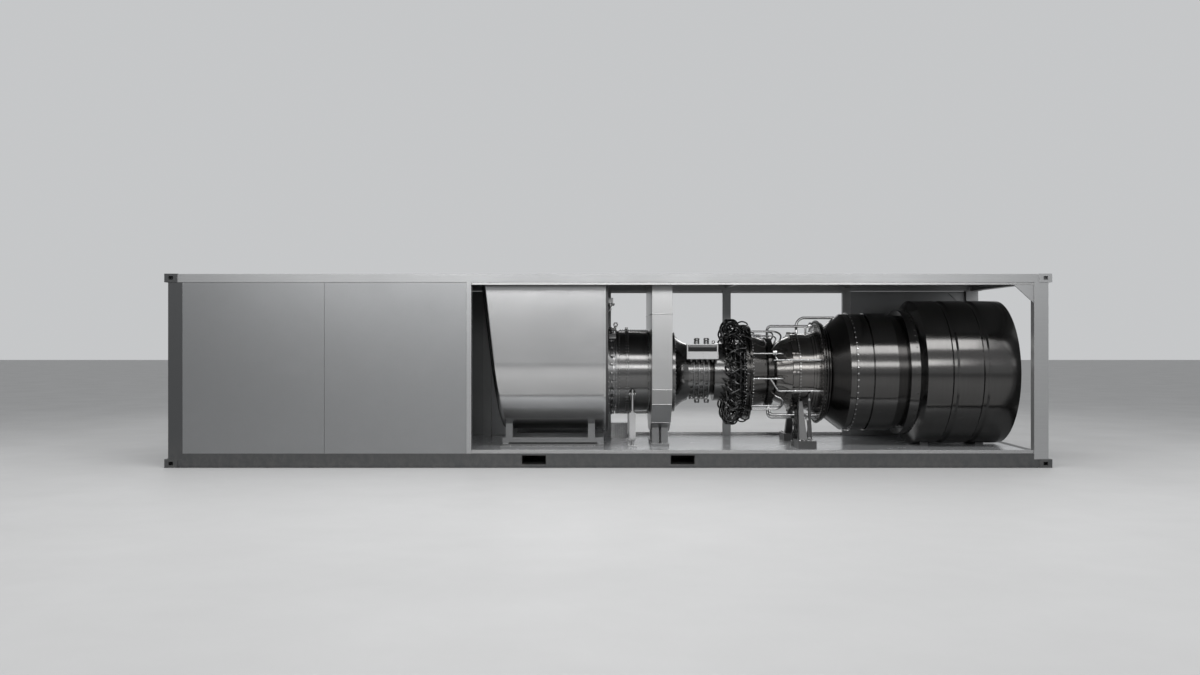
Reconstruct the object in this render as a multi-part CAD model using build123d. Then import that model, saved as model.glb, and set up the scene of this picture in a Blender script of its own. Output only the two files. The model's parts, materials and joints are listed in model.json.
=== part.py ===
from build123d import *
from math import cos, radians, sin, sqrt, tan
import os

# A gas turbine in a steel carrying frame, open along the front so that the engine shows.
# Sizes are in millimetres. X runs along the engine from the air inlet to the exhaust, Y from the
# open front to the back and Z up. The origin is on the ground under the middle of the frame.

# Frame, overall
LENGTH = 12192.0
WIDTH = 2896.0
HEADROOM = 300.0            # from the top of the exhaust drum to the roof
DRUM_CLEARANCE = 15.0       # from the deck to the exhaust drum
EXHAUST_SETBACK = 28.0      # from the exhaust drum's end to the inner face of the end posts
FACE_INSET = 8.0            # rails, posts and panels stand this far behind the casting faces
BAYS = 6                    # equal bays between the end posts
OVERRUN = 20.0              # how far a cutting body runs past the face it opens
RUNNING_GAP = 0.3           # left between a curved face and what rests on it
ROOT_DEPTH = 20.0           # how far a vane, stem or strut is rooted in the round body that carries it

# Corner castings
CASTING_LENGTH = 178.0
CASTING_WIDTH = 162.0
CASTING_HEIGHT = 118.0
CASTING_WALL = 28.0
APERTURE_LENGTH = 124.0     # slot in the outer top or bottom face
APERTURE_WIDTH = 63.5
SIDE_APERTURE_WIDTH = 64.0  # slots in the end and side faces
SIDE_APERTURE_HEIGHT = 50.0

# Posts, rails and cross beams of the frame
POST_WIDTH = 196.0
POST_INSET = 50.0           # from the casting's end face to the end post
RAIL_DEPTH = 120.0
RAIL_GROUND_GAP = 11.0
BOTTOM_RAIL_TOP = 196.0
TOP_RAIL_DROP = 4.0         # top rail below the casting's top face
END_BEAM_DEPTH = 120.0
BAY_POST_WIDTH = 130.0
JAMB_WIDTH = 65.0
BOTTOM_LIP_HEIGHT = 47.0
TOP_LIP_HEIGHT = 33.0
LIP_THICKNESS = 24.0
GUSSET_LENGTH = 272.0
GUSSET_HEIGHT = 250.0
GUSSET_THICKNESS = 20.0
CROSS_MEMBER_WIDTH = 80.0
CROSS_MEMBER_HEIGHT = 120.0
ROOF_BEAM_WIDTH = 50.0
ROOF_BEAM_HEIGHT = 47.0

# Fork pockets
FORK_SPACING = 2044.0
FORK_WIDTH = 327.0
FORK_HEIGHT = 122.0
FORK_BOTTOM = 48.0
FORK_WALL = 6.0

# Sheets
PANEL_THICKNESS = 40.0
PANEL_REVEAL = 4.0          # shadow gap above and between panels
DECK_THICKNESS = 12.0
ROOF_THICKNESS = 12.0
ROOF_FLANGE_WIDTH = 60.0
ROOF_FLANGE_THICKNESS = 12.0

# Inlet plenum
PLENUM_HALF_WIDTH = 1010.0
PLENUM_ROUND_RISE = 155.0   # centre of the round bottom above the engine axis
PLENUM_LENGTH = 1610.0      # at the height of the engine axis
PLENUM_RAKE = 7.0           # degrees, the closed end leans outward to the top
PLENUM_EDGE = 70.0
PLENUM_WALL = 10.0
PLENUM_FLANGE_THICKNESS = 28.0
PLENUM_FLANGE_MARGIN = 40.0
PLATE_THICKNESS = 32.0

# Plenum stand
STAND_LEG_WIDTH = 102.0
STAND_LEG_SETBACK = 128.0   # from the beam's end at the front plate to the nearer leg
STAND_LEG_INSET = 46.0      # from the beam's other end to the farther leg
STAND_LEG_Y = 400.0
STAND_BEAM_LENGTH = 1480.0
STAND_BEAM_HEIGHT = 73.0
STAND_BEAM_DEPTH = 120.0
STAND_FOOT_LENGTH = 90.0
STAND_FOOT_HEIGHT = 18.0
STAND_BASE_HEIGHT = 40.0
STAND_BASE_HALF_WIDTH = 830.0

# Air path at the inlet
THROAT_RADIUS = 520.0
FLARE_RADIUS = 160.0
FLARE_WALL = 10.0
HUB_RADIUS = 230.0
NOSE_LENGTH = 400.0
VANE_COUNT = 20
VANE_THICKNESS = 12.0
VANE_CHORD = 90.0

# Guide vane ring
GUIDE_LENGTH = 138.0
GUIDE_RADIUS = 590.0
GUIDE_FLANGE_RADIUS = 632.0
GUIDE_FLANGE = 18.0
LEVER_COUNT = 30
LEVER_STEM_RADIUS = 13.0
LEVER_WIDTH = 30.0
LEVER_THICKNESS = 10.0
LEVER_LENGTH = 62.0

# Low pressure compressor casing
LPC_LENGTH = 486.0
LPC_FRONT_RADIUS = 611.0
LPC_REAR_RADIUS = 600.0
LPC_FLANGE_RADIUS = 630.0
LPC_FLANGE = 26.0
LPC_MID_FLANGE_SHIFT = 132.0
SPLIT_FLANGE_WIDTH = 64.0   # bolted joint along the top and the bottom of the casing
SPLIT_FLANGE_DROP = 6.0     # from the round flanges' rim to the joint's face
SPLIT_ANGLES = (90.0, -90.0)

# Bleed collector
COLLECTOR_LENGTH = 286.0
COLLECTOR_HALF_WIDTH = 1000.0
COLLECTOR_WALL = 10.0
COLLECTOR_SIDE_FOOT = 227.0      # the flat side ends this far below the axis
COLLECTOR_FACETS = (228.0, 393.0, 405.0)
COLLECTOR_FACET_ANGLES = (22.5, 45.0, 67.5)

# Casing from the collector to the high pressure compressor
DUCT_RADIUS = 560.0
NECK_LENGTH = 275.0
NECK_FLANGE_SHIFT = 35.0
NECK_FLANGE = 40.0
NECK_FLANGE_RADIUS = 600.0
NECK_FRONT_RADIUS = 578.0
NECK_REAR_RADIUS = 424.0
NECK_SAG = 24.0

# High pressure compressor
HPC_LENGTH = 323.0
HPC_RADIUS = 385.0
HPC_ROWS = 4
HPC_ROW_PITCH = 72.0
HPC_FIRST_ROW = 48.0
HPC_STEMS = 20
HPC_STEM_RADIUS = 11.0
HPC_STEM_RISE = 22.0
UNISON_WIDTH = 14.0
UNISON_THICKNESS = 12.0
UNISON_SHIFT = 30.0
ACTUATOR_ROWS = (1, 3)      # control rings that carry an actuator above and one below
ACTUATOR_RADIUS = 38.0
ACTUATOR_SEAT = 2.0         # sunk this far in the ring
ACTUATOR_TOP_RISE = 90.0    # height on the ring, above the compressor
ACTUATOR_LOW_RISE = 48.0    # and below it

# Control box on the compressor
BOX_LENGTH = 454.0
BOX_HEIGHT = 220.0
BOX_DEPTH = 120.0
BOX_RISE = 200.0
BOX_FACE_Y = 520.0
BOX_SHIFT = 30.0            # the box starts this far before the rear compressor
BOX_BORDER = 16.0
BOX_RECESS = 12.0
BOX_BRACKET = 60.0

# Combustor
GROOVE_LENGTH = 64.0
GROOVE_RADIUS = 350.0
DIFFUSER_LENGTH = 316.0
DIFFUSER_RADIUS = 435.0
DIFFUSER_CONE_LENGTH = 120.0
DIFFUSER_CONE_RADIUS = 608.0
MAIN_FLANGE = 32.0
MAIN_FLANGE_GAP = 26.0
MAIN_FLANGE_RADIUS = 705.0
COMBUSTOR_LENGTH = 256.0
COMBUSTOR_FRONT_RADIUS = 560.0
COMBUSTOR_REAR_RADIUS = 483.0

# Fuel manifold
INJECTOR_COUNT = 16
INJECTOR_RADIUS = 34.0
INJECTOR_TOP = 520.0
INJECTOR_SHIFT = 190.0      # from the start of the diffuser casing
RAIL_TUBE_RADIUS = 20.0
RAIL_RING_RADIUS = 640.0
PIGTAIL_RADIUS = 16.0
PIGTAIL_BEND = 62.0
PIGTAIL_OUTER = 777.0
PIGTAIL_ROOT = 683.0
PIGTAIL_SWING = 9.0         # degrees from the flange to the injector

# Turbines
DARK_FLANGE = 76.0
DARK_FLANGE_RADIUS = 520.0
HPT_LENGTH = 273.0
HPT_FRONT_RADIUS = 415.0
HPT_REAR_RADIUS = 527.0
LPT_LENGTH = 302.0
LPT_RADIUS = 572.0
LPT_FLANGE_RADIUS = 592.0
LPT_FLANGE = 30.0
LPT_FLANGE_SHIFT = 88.0
RINGS_LENGTH = 215.0
RING_STEPS = 3
RING_STEP_LENGTH = 36.0
RING_STEP_RISE = 18.0
RIM_THICKNESS = 28.0
RIM_RADIUS = 770.0
RIM_WAIST_RADIUS = 690.0

# Exhaust
CONE_LENGTH = 258.0
CONE_FRONT_RADIUS = 672.0
BAND_LENGTH = 322.0
BAND_RADIUS = 868.0
BAND_FLANGE = 26.0
BAND_FLANGE_RADIUS = 882.0
BAND_FLANGE_SHIFT = 84.0
BAND_GROOVE = 19.0
BAND_GROOVE_RADIUS = 840.0
DIFFUSER_DRUM_LENGTH = 338.0
DIFFUSER_DRUM_RADIUS = 880.0
RECESS_LENGTH = 160.0
RECESS_RADIUS = 845.0
COLLAR_LENGTH = 133.0
COLLAR_RADIUS = 930.0
GAS_RADIUS = 800.0
DRUM_LENGTH = 1372.0
DRUM_RADIUS = 1064.0
DRUM_WALL = 16.0
DRUM_BEADS = (414.0, 849.0)  # start of each ring groove along the drum
DRUM_BEAD_WIDTH = 99.0
DRUM_BEAD_DEPTH = 26.0
DRUM_SHOULDER = 65.0        # the coned front of the drum
DRUM_END_PLATE = 23.0
TAIL_RADIUS = 480.0
TAIL_LENGTH = 1150.0
TAIL_END_RADIUS = 90.0
STRUT_COUNT = 8
STRUT_CHORD = 150.0
STRUT_THICKNESS = 30.0
SADDLE_LENGTH = 120.0
SADDLE_HALF_WIDTH = 220.0
SADDLE_SHIFTS = (190.0, 1010.0)

# Engine supports
FORE_STRUT_SHIFT = 220.0    # along the low pressure compressor
FORE_STRUT_RADIUS = 22.0
FORE_SLEEVE_SIZE = 92.0
FORE_SLEEVE_HEIGHT = 410.0
FORE_NECK_RADIUS = 20.0
FORE_NECK_HEIGHT = 70.0
FORE_FOOT_SIZE = 130.0
FORE_FOOT_HEIGHT = 24.0
FORE_STRUT_Y = 560.0
TRUNNION_Y = 310.0
TRUNNION_LENGTH = 264.0
TRUNNION_BLOCK_HEIGHT = 44.0
TRUNNION_BLOCK_DEPTH = 300.0
TRUNNION_WEB_LENGTH = 230.0
TRUNNION_WEB_DEPTH = 200.0
TRUNNION_SLOT = 36.0        # between the two cheeks of the web
AFT_FOOT_Y = 600.0          # the leg leans inward from here
AFT_HEAD_Y = 380.0
AFT_BASE_LENGTH = 260.0
AFT_BASE_NEAR = 830.0       # the base reaches this far from the middle plane
AFT_BASE_DEPTH = 430.0
AFT_BASE_HEIGHT = 110.0
AFT_LEG_FOOT = 116.0
AFT_LEG_HEAD = 52.0
AFT_LEG_DEPTH = 110.0
AFT_HEAD_DEPTH = 70.0
AFT_LEG_SHIFT = 26.0        # from the middle of the stand to the leg
AFT_ROD_RADIUS = 22.0
AFT_ROD_SHIFT = 92.0        # from the middle of the stand to the rod
AFT_ROD_Y = 490.0
AFT_PEDESTAL_FOOT = 66.0
AFT_PEDESTAL_HEAD = 48.0
AFT_PEDESTAL_HEIGHT = 270.0

# Finned oil cooler on the deck behind the low pressure compressor
COOLER_LENGTH = 277.0
COOLER_DEPTH = 165.0
COOLER_HEIGHT = 240.0
COOLER_SHIFT = 60.0         # from the plenum's front plate
COOLER_Y = 990.0
COOLER_HEADER = 57.0
COOLER_FINS = 7
COOLER_FIN_THICKNESS = 14.0
COOLER_FIN_DEPTH = 40.0

# Boxes on the front plate
SENSOR_BOX_LENGTH = 80.0
SENSOR_BOX_WIDTH = 90.0
SENSOR_BOX_HEIGHT = 74.0
SENSOR_BOX_RISE = 1026.0
SENSOR_BOX_Y = 260.0

# Pipes along the engine: radius, bend, distance from the axis and angle above the near side
PIPE_RADIUS = 20.0
ROD_RADIUS = 13.0
PIPE_BEND = 60.0
HIGH_PIPE_BEND = 130.0
LONG_PIPE_R = 688.0
HIGH_PIPE_R = 818.0
SIDE_PIPE_R = 645.0
SHORT_PIPE_R = 620.0
LOW_PIPE_R = 690.0
LONG_PIPE_ANGLE = 84.0
HIGH_PIPE_ANGLE = 97.0
SIDE_PIPE_ANGLE = 17.0
CROSS_PIPE_ANGLE = -24.0
CROSS_PIPE_RUN = 122.0
SHORT_PIPE_ANGLE = -7.6     # the cross pipe branches off this one
SHORT_TOP_ANGLE = 104.0
BELLY_PIPE_ANGLES = (-66.0, -79.0)
ELBOW_PIPE_ANGLE = -52.0

# Derived places of the frame
HALF_LENGTH = LENGTH / 2
HALF_WIDTH = WIDTH / 2
FACE_Y = HALF_WIDTH - FACE_INSET
RAIL_Y = FACE_Y - RAIL_DEPTH
POST_Y = FACE_Y - PANEL_THICKNESS
POST_OUTER_X = HALF_LENGTH - POST_INSET
POST_INNER_X = POST_OUTER_X - POST_WIDTH
CASTING_X = HALF_LENGTH - CASTING_LENGTH
CASTING_Y = HALF_WIDTH - CASTING_WIDTH
END_BEAM_X = POST_OUTER_X - END_BEAM_DEPTH
BAY = 2 * POST_INNER_X / BAYS
DECK_Z = BOTTOM_RAIL_TOP
AXIS_Z = DECK_Z + DRUM_CLEARANCE + DRUM_RADIUS
ROOF_Z = AXIS_Z + DRUM_RADIUS + HEADROOM
ROOF_BEAM_Z = ROOF_Z - ROOF_BEAM_HEIGHT
ROOF_TOP_Z = ROOF_Z + ROOF_THICKNESS
RAIL_TOP_Z = ROOF_TOP_Z + ROOF_FLANGE_THICKNESS
HEIGHT = RAIL_TOP_Z + TOP_RAIL_DROP
TOP_Z = HEIGHT - CASTING_HEIGHT

# Derived stations of the engine, from the face of the plenum's front plate to the exhaust, which ends
# at the frame's open end
ENGINE_LENGTH = sum((
    GUIDE_LENGTH, LPC_LENGTH, COLLECTOR_LENGTH, NECK_LENGTH, HPC_LENGTH, GROOVE_LENGTH, DIFFUSER_LENGTH,
    DIFFUSER_CONE_LENGTH, 2 * MAIN_FLANGE, MAIN_FLANGE_GAP, COMBUSTOR_LENGTH, DARK_FLANGE, HPT_LENGTH,
    LPT_LENGTH, RINGS_LENGTH, CONE_LENGTH, BAND_LENGTH, BAND_GROOVE, DIFFUSER_DRUM_LENGTH, RECESS_LENGTH,
    COLLAR_LENGTH, DRUM_LENGTH,
))
FACE_X = POST_INNER_X - EXHAUST_SETBACK - ENGINE_LENGTH
PLATE_X = FACE_X - PLATE_THICKNESS
PLENUM_X = PLATE_X - PLENUM_LENGTH
PLENUM_ROUND_Z = AXIS_Z + PLENUM_ROUND_RISE
PLENUM_BOTTOM_Z = PLENUM_ROUND_Z - PLENUM_HALF_WIDTH
LPC_X = FACE_X + GUIDE_LENGTH
COLLECTOR_X = LPC_X + LPC_LENGTH
COLLECTOR_END_X = COLLECTOR_X + COLLECTOR_LENGTH
HPC_X = COLLECTOR_END_X + NECK_LENGTH
GROOVE_X = HPC_X + HPC_LENGTH
DIFFUSER_X = GROOVE_X + GROOVE_LENGTH
CONE_START_X = DIFFUSER_X + DIFFUSER_LENGTH
FLANGE_X = CONE_START_X + DIFFUSER_CONE_LENGTH
COMBUSTOR_X = FLANGE_X + 2 * MAIN_FLANGE + MAIN_FLANGE_GAP
DARK_FLANGE_X = COMBUSTOR_X + COMBUSTOR_LENGTH
HPT_X = DARK_FLANGE_X + DARK_FLANGE
LPT_X = HPT_X + HPT_LENGTH
RINGS_X = LPT_X + LPT_LENGTH
RIM_X = RINGS_X + RING_STEPS * RING_STEP_LENGTH
CONE_X = RINGS_X + RINGS_LENGTH
BAND_X = CONE_X + CONE_LENGTH
GROOVE_BAND_X = BAND_X + BAND_LENGTH
DIFFUSER_DRUM_X = GROOVE_BAND_X + BAND_GROOVE
RECESS_X = DIFFUSER_DRUM_X + DIFFUSER_DRUM_LENGTH
COLLAR_X = RECESS_X + RECESS_LENGTH
DRUM_X = COLLAR_X + COLLAR_LENGTH
DRUM_END_X = DRUM_X + DRUM_LENGTH
FORE_STRUT_X = LPC_X + FORE_STRUT_SHIFT
AFT_STAND_X = LPT_X + LPT_LENGTH / 2


def block(x0, x1, y0, y1, z0, z1):
    """A box between two corners."""
    middle = Pos((x0 + x1) / 2, (y0 + y1) / 2, (z0 + z1) / 2)
    return middle * Box(x1 - x0, y1 - y0, z1 - z0)


def both_sides(shape):
    """The piece and its mirror image across the engine's middle plane."""
    return [shape, mirror(shape, about=Plane.XZ)]


def both_ends(shape):
    """The piece and its mirror image at the other end of the frame."""
    return [shape, mirror(shape, about=Plane.YZ)]


def turned(outline):
    """A body turned about the engine axis from (station, radius) points or a closed line."""
    if isinstance(outline, list):
        outline = Polyline(*outline, close=True)
    face = Plane.XZ * make_face(outline)
    return Pos(0, 0, AXIS_Z) * revolve(face, axis=Axis.X)


def casing(steps):
    """A solid body turned from its outer (station, radius) steps."""
    return turned([(steps[0][0], 0)] + steps + [(steps[-1][0], 0)])


def around(x, radius, angle):
    """The point at a station, a distance from the axis and an angle above the near side."""
    turn = radians(angle)
    return (x, -radius * cos(turn), AXIS_Z + radius * sin(turn))


def spoke(x, inner, outer, angle, radius):
    """A round peg standing out from the axis."""
    start = Vector(around(x, inner, angle))
    out = Vector(around(x, outer, angle)) - start
    return extrude(Plane(origin=start, z_dir=out) * Circle(radius), amount=outer - inner)


def bar(x0, x1, inner, outer, width, angle):
    """A flat bar along the engine at a distance from the axis."""
    piece = block(x0, x1, -outer, -inner, -width / 2, width / 2)
    return Pos(0, 0, AXIS_Z) * Rot(-angle, 0, 0) * piece


def tube(points, radius, bend):
    """A round bar along straight runs joined by bends."""
    path = FilletPolyline(*points, radius=bend)
    section = Plane(origin=path @ 0, z_dir=path % 0) * Circle(radius)
    return sweep(section, path=path)


def corner_casting():
    """The casting at the exhaust end, back, bottom corner."""
    body = block(CASTING_X, HALF_LENGTH, CASTING_Y, HALF_WIDTH, 0, CASTING_HEIGHT)
    body -= block(CASTING_X + CASTING_WALL, HALF_LENGTH - CASTING_WALL,
                  CASTING_Y + CASTING_WALL, HALF_WIDTH - CASTING_WALL,
                  CASTING_WALL, CASTING_HEIGHT - CASTING_WALL)
    x = HALF_LENGTH - CASTING_LENGTH / 2
    y = HALF_WIDTH - CASTING_WIDTH / 2
    z = CASTING_HEIGHT / 2
    slot = extrude(SlotOverall(APERTURE_LENGTH, APERTURE_WIDTH), amount=CASTING_WALL + OVERRUN)
    body -= Pos(x, y, -OVERRUN / 2) * slot
    side = Box(SIDE_APERTURE_WIDTH, CASTING_WALL + OVERRUN, SIDE_APERTURE_HEIGHT)
    body -= Pos(x, HALF_WIDTH - CASTING_WALL / 2, z) * side
    end = Box(CASTING_WALL + OVERRUN, SIDE_APERTURE_WIDTH, SIDE_APERTURE_HEIGHT)
    body -= Pos(HALF_LENGTH - CASTING_WALL / 2, y, z) * end
    return body


def castings():
    right_bottom = both_sides(corner_casting())
    left_bottom = [mirror(piece, about=Plane.YZ) for piece in right_bottom]
    middle = Plane.XY.offset(HEIGHT / 2)
    return {
        "bottom_castings": left_bottom + right_bottom,
        "left_top_castings": [mirror(piece, about=middle) for piece in left_bottom],
        "right_top_castings": [mirror(piece, about=middle) for piece in right_bottom],
    }


def fork_places():
    return (-FORK_SPACING / 2, FORK_SPACING / 2)


def fork_tube(x, grow):
    """A block the size of a pocket, grown on all sides but along the tunnel."""
    half = FORK_WIDTH / 2 + grow
    return block(x - half, x + half, -FACE_Y, FACE_Y, FORK_BOTTOM - grow, FORK_BOTTOM + FORK_HEIGHT + grow)


def base():
    rail = block(-CASTING_X, CASTING_X, RAIL_Y, FACE_Y, RAIL_GROUND_GAP, CASTING_HEIGHT)
    rail += block(-POST_INNER_X, POST_INNER_X, RAIL_Y, FACE_Y, CASTING_HEIGHT, BOTTOM_RAIL_TOP)
    pockets = []
    for x in fork_places():
        rail -= fork_tube(x, FORK_WALL)
        pockets.append(fork_tube(x, FORK_WALL) - fork_tube(x, 0))
    sill = block(END_BEAM_X, POST_OUTER_X, -CASTING_Y, CASTING_Y, RAIL_GROUND_GAP, CASTING_HEIGHT)
    sill += block(END_BEAM_X, POST_OUTER_X, -RAIL_Y, RAIL_Y, CASTING_HEIGHT, BOTTOM_RAIL_TOP)
    deck_bottom = DECK_Z - DECK_THICKNESS
    members = []
    for step in range(1 - BAYS, BAYS):
        x = step * BAY / 2
        near = min(abs(x - place) for place in fork_places())
        if near > (FORK_WIDTH + CROSS_MEMBER_WIDTH) / 2 + FORK_WALL:
            half = CROSS_MEMBER_WIDTH / 2
            members.append(block(x - half, x + half, -RAIL_Y, RAIL_Y,
                                 deck_bottom - CROSS_MEMBER_HEIGHT, deck_bottom))
    return {
        "bottom_rails": both_sides(rail),
        "fork_pockets": pockets,
        "end_sills": both_ends(sill),
        "floor_deck": [block(-END_BEAM_X, END_BEAM_X, -RAIL_Y, RAIL_Y, deck_bottom, DECK_Z)],
        "floor_cross_members": members,
    }


def bay_post(x, width):
    """A post behind the panel line at the back."""
    return block(x - width / 2, x + width / 2, RAIL_Y, POST_Y, BOTTOM_RAIL_TOP, TOP_Z)


def posts():
    corner = block(POST_INNER_X, POST_OUTER_X, RAIL_Y, FACE_Y, CASTING_HEIGHT, TOP_Z)
    right = both_sides(corner)
    back = [bay_post(step * BAY, BAY_POST_WIDTH) for step in (-2, -1, 0, 1, 2)]
    jamb = block(-BAY, JAMB_WIDTH - BAY, -FACE_Y, -RAIL_Y, BOTTOM_RAIL_TOP, TOP_Z)
    return {
        "left_end_posts": [mirror(post, about=Plane.YZ) for post in right],
        "right_end_posts": right,
        "back_posts": back,
        "front_posts": [mirror(bay_post(-2 * BAY, BAY_POST_WIDTH), about=Plane.XZ), jamb],
    }


def lips():
    """Upstands and drop edges round the open bays, front and back."""
    front = POST_Y + LIP_THICKNESS
    low = BOTTOM_RAIL_TOP + BOTTOM_LIP_HEIGHT
    high = TOP_Z - TOP_LIP_HEIGHT
    left = JAMB_WIDTH - BAY
    return {"opening_lips": [
        block(left, POST_INNER_X, -front, -POST_Y, BOTTOM_RAIL_TOP, low),
        block(left, POST_INNER_X, -front, -POST_Y, high, TOP_Z),
        block(0, 2 * BAY, POST_Y, front, BOTTOM_RAIL_TOP, low),
        block(0, 2 * BAY, POST_Y, front, high, TOP_Z),
    ]}


def gussets():
    high = TOP_Z - TOP_LIP_HEIGHT
    corners = [(POST_INNER_X, high), (POST_INNER_X - GUSSET_LENGTH, high),
               (POST_INNER_X, high - GUSSET_HEIGHT)]
    face = make_face(Polyline(*corners, close=True))
    plate = Pos(0, -POST_Y, 0) * extrude(Plane.XZ * face, amount=GUSSET_THICKNESS)
    inner = Pos(0, POST_Y, 0) * extrude(Plane.XZ * face, amount=GUSSET_THICKNESS)
    return {"corner_gussets": [plate, inner]}


def panel(x0, x1):
    """A flat wall panel on the back of the frame."""
    return block(x0 + PANEL_REVEAL / 2, x1 - PANEL_REVEAL / 2, POST_Y, FACE_Y,
                 BOTTOM_RAIL_TOP, TOP_Z - PANEL_REVEAL)


def walls():
    ends = [step * BAY for step in range(-BAYS // 2, BAYS // 2 + 1)]
    front = [mirror(panel(ends[bay], ends[bay + 1]), about=Plane.XZ) for bay in (0, 1)]
    back = [panel(ends[bay], ends[bay + 1]) for bay in (0, 1, 2, BAYS - 1)]
    end = block(-POST_OUTER_X, PANEL_THICKNESS - POST_OUTER_X, -RAIL_Y, RAIL_Y,
                BOTTOM_RAIL_TOP, TOP_Z - PANEL_REVEAL)
    return {"front_panels": front, "back_panels": back, "left_end_wall": [end]}


def plenum_top_x():
    """Where the raked end of the plenum meets the roof."""
    return PLENUM_X - (ROOF_Z - AXIS_Z) * tan(radians(PLENUM_RAKE))


def inlet_hole(z0, z1):
    half = PLENUM_HALF_WIDTH - PLENUM_WALL
    return block(plenum_top_x() + PLENUM_EDGE, PLATE_X - PLENUM_FLANGE_THICKNESS, -half, half, z0, z1)


def bleed_hole(z0, z1):
    half = COLLECTOR_HALF_WIDTH - COLLECTOR_WALL
    return block(COLLECTOR_X + COLLECTOR_WALL, COLLECTOR_END_X - COLLECTOR_WALL, -half, half, z0, z1)


def flange_round(hole):
    """A flat flange on the roof round an opening."""
    box = hole.bounding_box()
    outer = block(box.min.X - ROOF_FLANGE_WIDTH, box.max.X + ROOF_FLANGE_WIDTH,
                  box.min.Y - ROOF_FLANGE_WIDTH, box.max.Y + ROOF_FLANGE_WIDTH, ROOF_TOP_Z, RAIL_TOP_Z)
    return outer - hole


def roof():
    rail = block(-CASTING_X, CASTING_X, RAIL_Y, FACE_Y, TOP_Z, RAIL_TOP_Z)
    header = block(END_BEAM_X, POST_OUTER_X, -CASTING_Y, CASTING_Y, TOP_Z, RAIL_TOP_Z)
    low = ROOF_Z - OVERRUN
    high = RAIL_TOP_Z + OVERRUN
    sheet = block(-CASTING_X, CASTING_X, -RAIL_Y, RAIL_Y, ROOF_Z, ROOF_TOP_Z)
    sheet = sheet - inlet_hole(low, high) - bleed_hole(low, high)
    half = ROOF_BEAM_WIDTH / 2
    ducts = [(plenum_top_x() - half, PLATE_X - half), (COLLECTOR_X - half, COLLECTOR_END_X + half)]
    beams = []
    for step in (-2, -1, 0, 1, 2):
        x = step * BAY
        if all(x <= start or x >= end for start, end in ducts):
            beams.append(block(x - half, x + half, -RAIL_Y, RAIL_Y, ROOF_BEAM_Z, ROOF_Z))
    return {
        "top_rails": both_sides(rail),
        "end_headers": both_ends(header),
        "roof_panel": [sheet],
        "roof_beams": beams,
        "roof_flanges": [flange_round(inlet_hole(low, high)), flange_round(bleed_hole(low, high))],
    }


def trough(radius, top):
    """The plenum's section: straight sides over a half round bottom, cut level at the top."""
    low = PLENUM_ROUND_Z - radius
    room = Pos(0, (top + low) / 2) * Rectangle(2 * radius, top - low)
    sides = Pos(0, (top + PLENUM_ROUND_Z) / 2) * Rectangle(2 * radius, top - PLENUM_ROUND_Z)
    return room & (sides + Pos(0, PLENUM_ROUND_Z) * Circle(radius))


def raked(shrink, top):
    """The plenum as a block, closed by the leaning end with its rounded edge."""
    lean = radians(PLENUM_RAKE)
    start = plenum_top_x() - PLENUM_HALF_WIDTH
    body = extrude(Plane.YZ.offset(start) * trough(PLENUM_HALF_WIDTH - shrink, top), amount=PLATE_X - start)
    end = Plane(origin=(PLENUM_X + shrink / cos(lean), 0, AXIS_Z), z_dir=(cos(lean), 0, sin(lean)))
    body = split(body, bisect_by=end, keep=Keep.TOP)
    rim = body.faces().sort_by(Axis.X)[0].edges().sort_by(Axis.Z)
    return fillet(rim[:-1], PLENUM_EDGE - shrink)


def plenum():
    shell = raked(0, ROOF_Z)
    flange = extrude(Plane.YZ.offset(PLATE_X) * trough(PLENUM_HALF_WIDTH + PLENUM_FLANGE_MARGIN, ROOF_BEAM_Z),
                     amount=-PLENUM_FLANGE_THICKNESS)
    shell = shell + flange - raked(PLENUM_WALL, ROOF_Z + OVERRUN)
    plate = extrude(Plane.YZ.offset(PLATE_X) * trough(PLENUM_HALF_WIDTH + PLENUM_FLANGE_MARGIN, ROOF_BEAM_Z),
                    amount=PLATE_THICKNESS)
    bore = turned([(PLATE_X - OVERRUN, 0), (PLATE_X - OVERRUN, THROAT_RADIUS),
                   (FACE_X + OVERRUN, THROAT_RADIUS), (FACE_X + OVERRUN, 0)])
    return {"inlet_plenum": [shell], "plenum_front_plate": [plate - bore]}


def plenum_stand():
    base_z = DECK_Z + STAND_BASE_HEIGHT
    beam_z = base_z + STAND_FOOT_HEIGHT
    leg_z = beam_z + STAND_BEAM_HEIGHT
    right = PLATE_X - PLENUM_FLANGE_THICKNESS
    left = right - STAND_BEAM_LENGTH
    plate = block(left, right, -STAND_BASE_HALF_WIDTH, STAND_BASE_HALF_WIDTH, DECK_Z, base_z)
    near = STAND_LEG_Y - STAND_BEAM_DEPTH / 2
    far = STAND_LEG_Y + STAND_BEAM_DEPTH / 2
    frame = block(left, right, near, far, beam_z, leg_z)
    frame += block(left, left + STAND_FOOT_LENGTH, near, far, base_z, beam_z)
    frame += block(right - STAND_FOOT_LENGTH, right, near, far, base_z, beam_z)
    near_leg = right - STAND_LEG_SETBACK - STAND_LEG_WIDTH
    for x in (left + STAND_LEG_INSET, near_leg):
        frame += block(x, x + STAND_LEG_WIDTH, near, far, leg_z, PLENUM_ROUND_Z)
    flange = PLENUM_HALF_WIDTH + RUNNING_GAP
    hollow = extrude(Plane.YZ.offset(left - OVERRUN) * (Pos(0, PLENUM_ROUND_Z) * Circle(flange)),
                     amount=right - left + 2 * OVERRUN)
    return {"plenum_stand": [plate + both_sides(frame - hollow)]}


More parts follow.
